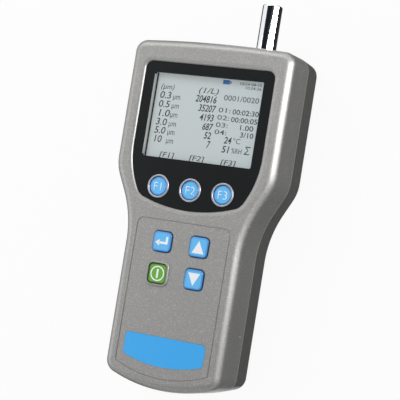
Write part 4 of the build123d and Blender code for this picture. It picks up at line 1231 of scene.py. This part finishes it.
@dataclass
class Studio:
    """Floor, light, dark cards and camera.

    Attributes:
        camera_at: Place of the camera in metres.
        aim: Point that the middle of the picture shows.
        up: Direction that is up in the picture.
        lens: Focal length in millimetres.
        picture_width: Width in millimetres of the picture that the lens draws.
        floor_size: Side of the floor in metres.
        floor_drop: Gap between the object and the floor.
        floor_white: Share of plain white that a viewer sees on the floor.
        floor_grey: Colour of the floor itself.
        floor_roughness: Its roughness.
        sky: Strength of the even light.
        lamps: The soft boxes.
        cards: What the shiny surfaces show besides them.
    """

    camera_at: Point = (0.337811, -0.035991, 0.751298)
    aim: Point = (0.007743, -0.004040, 0.048500)
    up: Point = (-0.127840, 0.986234, 0.104876)
    lens: float = 119.70
    picture_width: float = 36.0
    floor_size: float = 8.0
    floor_drop: float = 0.1 * MM
    floor_white: float = 0.93
    floor_grey: float = 0.70
    floor_roughness: float = 0.9
    sky: float = 0.60
    lamps: tuple[Lamp, ...] = (
        Lamp("overhead", (-0.35, 0.70, 0.75), 1.0, (0.7, 0.5), 4.0),
        Lamp("fill", (-0.8, -0.1, 0.7), 1.2, (0.8, 0.8), 3.0),
        Lamp("right_strip", (0.82, 0.30, 0.60), 0.5, (0.14, 0.7), 6.0, highlight_only=True),
        Lamp("top_strip", (-0.10, 0.90, 0.40), 1.0, (1.2, 0.12), 1.2, highlight_only=True))
    cards: tuple[Card, ...] = (
        Card("overhead_card", (0.03, -0.25, 0.6), 0.88, 1.3, (0.012, 0.014, 0.020)),
        Card("right_card", (0.335, 0.0, 0.0002), 0.60, 1.4, (0.03, 0.03, 0.03)),
        Card("left_card", (-0.235, 0.0, 0.0002), 0.40, 1.4, (0.03, 0.03, 0.03)))

    def camera(self) -> None:
        """Place the camera."""
        place = Vector(self.camera_at)
        forward = (Vector(self.aim) - place).normalized()
        right = forward.cross(Vector(self.up)).normalized()
        upward = right.cross(forward)
        data = bpy.data.cameras.new("camera")
        data.lens = self.lens
        data.sensor_width = self.picture_width
        data.clip_start = 0.01
        data.clip_end = 50.0
        made = bpy.data.objects.new("camera", data)
        bpy.context.scene.collection.objects.link(made)
        turned = Matrix((right, upward, -forward)).transposed().to_4x4()
        made.matrix_world = Matrix.Translation(place) @ turned
        bpy.context.scene.camera = made

    def white_mix(self, tree: bpy.types.NodeTree) -> bpy.types.NodeSocket:
        """1 for the rays of the camera, of shiny surfaces and of clear ones, else 0.

        Args:
            tree: The tree to add to.

        Returns:
            The value output.
        """
        path = tree.nodes.new("ShaderNodeLightPath")
        total = path.outputs["Is Camera Ray"]
        for ray in ("Is Glossy Ray", "Is Transmission Ray"):
            most = tree.nodes.new("ShaderNodeMath")
            most.operation = "MAXIMUM"
            tree.links.new(total, most.inputs[0])
            tree.links.new(path.outputs[ray], most.inputs[1])
            total = most.outputs["Value"]
        return total

    def world(self) -> None:
        """Soft even light, with a white background."""
        world = bpy.data.worlds.new("studio")
        world.use_nodes = True
        bpy.context.scene.world = world
        tree = world.node_tree
        soft = tree.nodes["Background"]
        soft.inputs["Color"].default_value = (1, 1, 1, 1)
        soft.inputs["Strength"].default_value = self.sky
        white = tree.nodes.new("ShaderNodeBackground")
        white.inputs["Color"].default_value = (1, 1, 1, 1)
        white.inputs["Strength"].default_value = 1.0
        mixed = tree.nodes.new("ShaderNodeMixShader")
        tree.links.new(self.white_mix(tree), mixed.inputs["Fac"])
        tree.links.new(soft.outputs["Background"], mixed.inputs[1])
        tree.links.new(white.outputs["Background"], mixed.inputs[2])
        tree.links.new(mixed.outputs["Shader"], tree.nodes["World Output"].inputs["Surface"])

    def floor(self) -> None:
        """Pale floor that is clear from below and lets the even light through to the object's back."""
        deselect()
        bpy.ops.mesh.primitive_plane_add(size=self.floor_size, location=(0, 0, -self.floor_drop))
        made = bpy.context.object
        made.name = "floor"
        settle(made)
        with editing(made):
            bpy.ops.mesh.subdivide(number_cuts=3)
        graph = Graph("floor_white")
        graph.shader.inputs["Base Color"].default_value = (*(self.floor_grey,) * 3, 1)
        graph.shader.inputs["Roughness"].default_value = self.floor_roughness
        glow = graph.node("ShaderNodeEmission", {"Color": (1, 1, 1, 1), "Strength": 1.0})
        share = graph.maths("MULTIPLY", self.white_mix(graph.tree), self.floor_white)
        pale = graph.node("ShaderNodeMixShader")
        graph.join(share, pale.inputs["Fac"])
        graph.join(graph.shader.outputs["BSDF"], pale.inputs[1])
        graph.join(glow.outputs["Emission"], pale.inputs[2])
        clear = graph.node("ShaderNodeBsdfTransparent")
        sides = graph.node("ShaderNodeMixShader")
        graph.join(graph.node("ShaderNodeNewGeometry").outputs["Backfacing"], sides.inputs["Fac"])
        graph.join(pale.outputs["Shader"], sides.inputs[1])
        graph.join(clear.outputs["BSDF"], sides.inputs[2])
        graph.join(sides.outputs["Shader"], graph.output.inputs["Surface"])
        made.data.materials.append(graph.material)
        made.visible_diffuse = False

    def build(self) -> None:
        """Set up everything round the object."""
        bpy.context.scene.view_settings.view_transform = "Standard"
        self.camera()
        self.world()
        self.floor()
        for piece in self.lamps + self.cards:
            piece.build()


def main() -> None:
    """Set up the studio, then build the sub-assemblies in order."""
    Studio().build()
    palette = Palette()
    for group in (Casing, Display, Keypad, Airway, Sensor, Electronics, Power):
        group(palette).build()


if __name__ == "__main__":
    main()
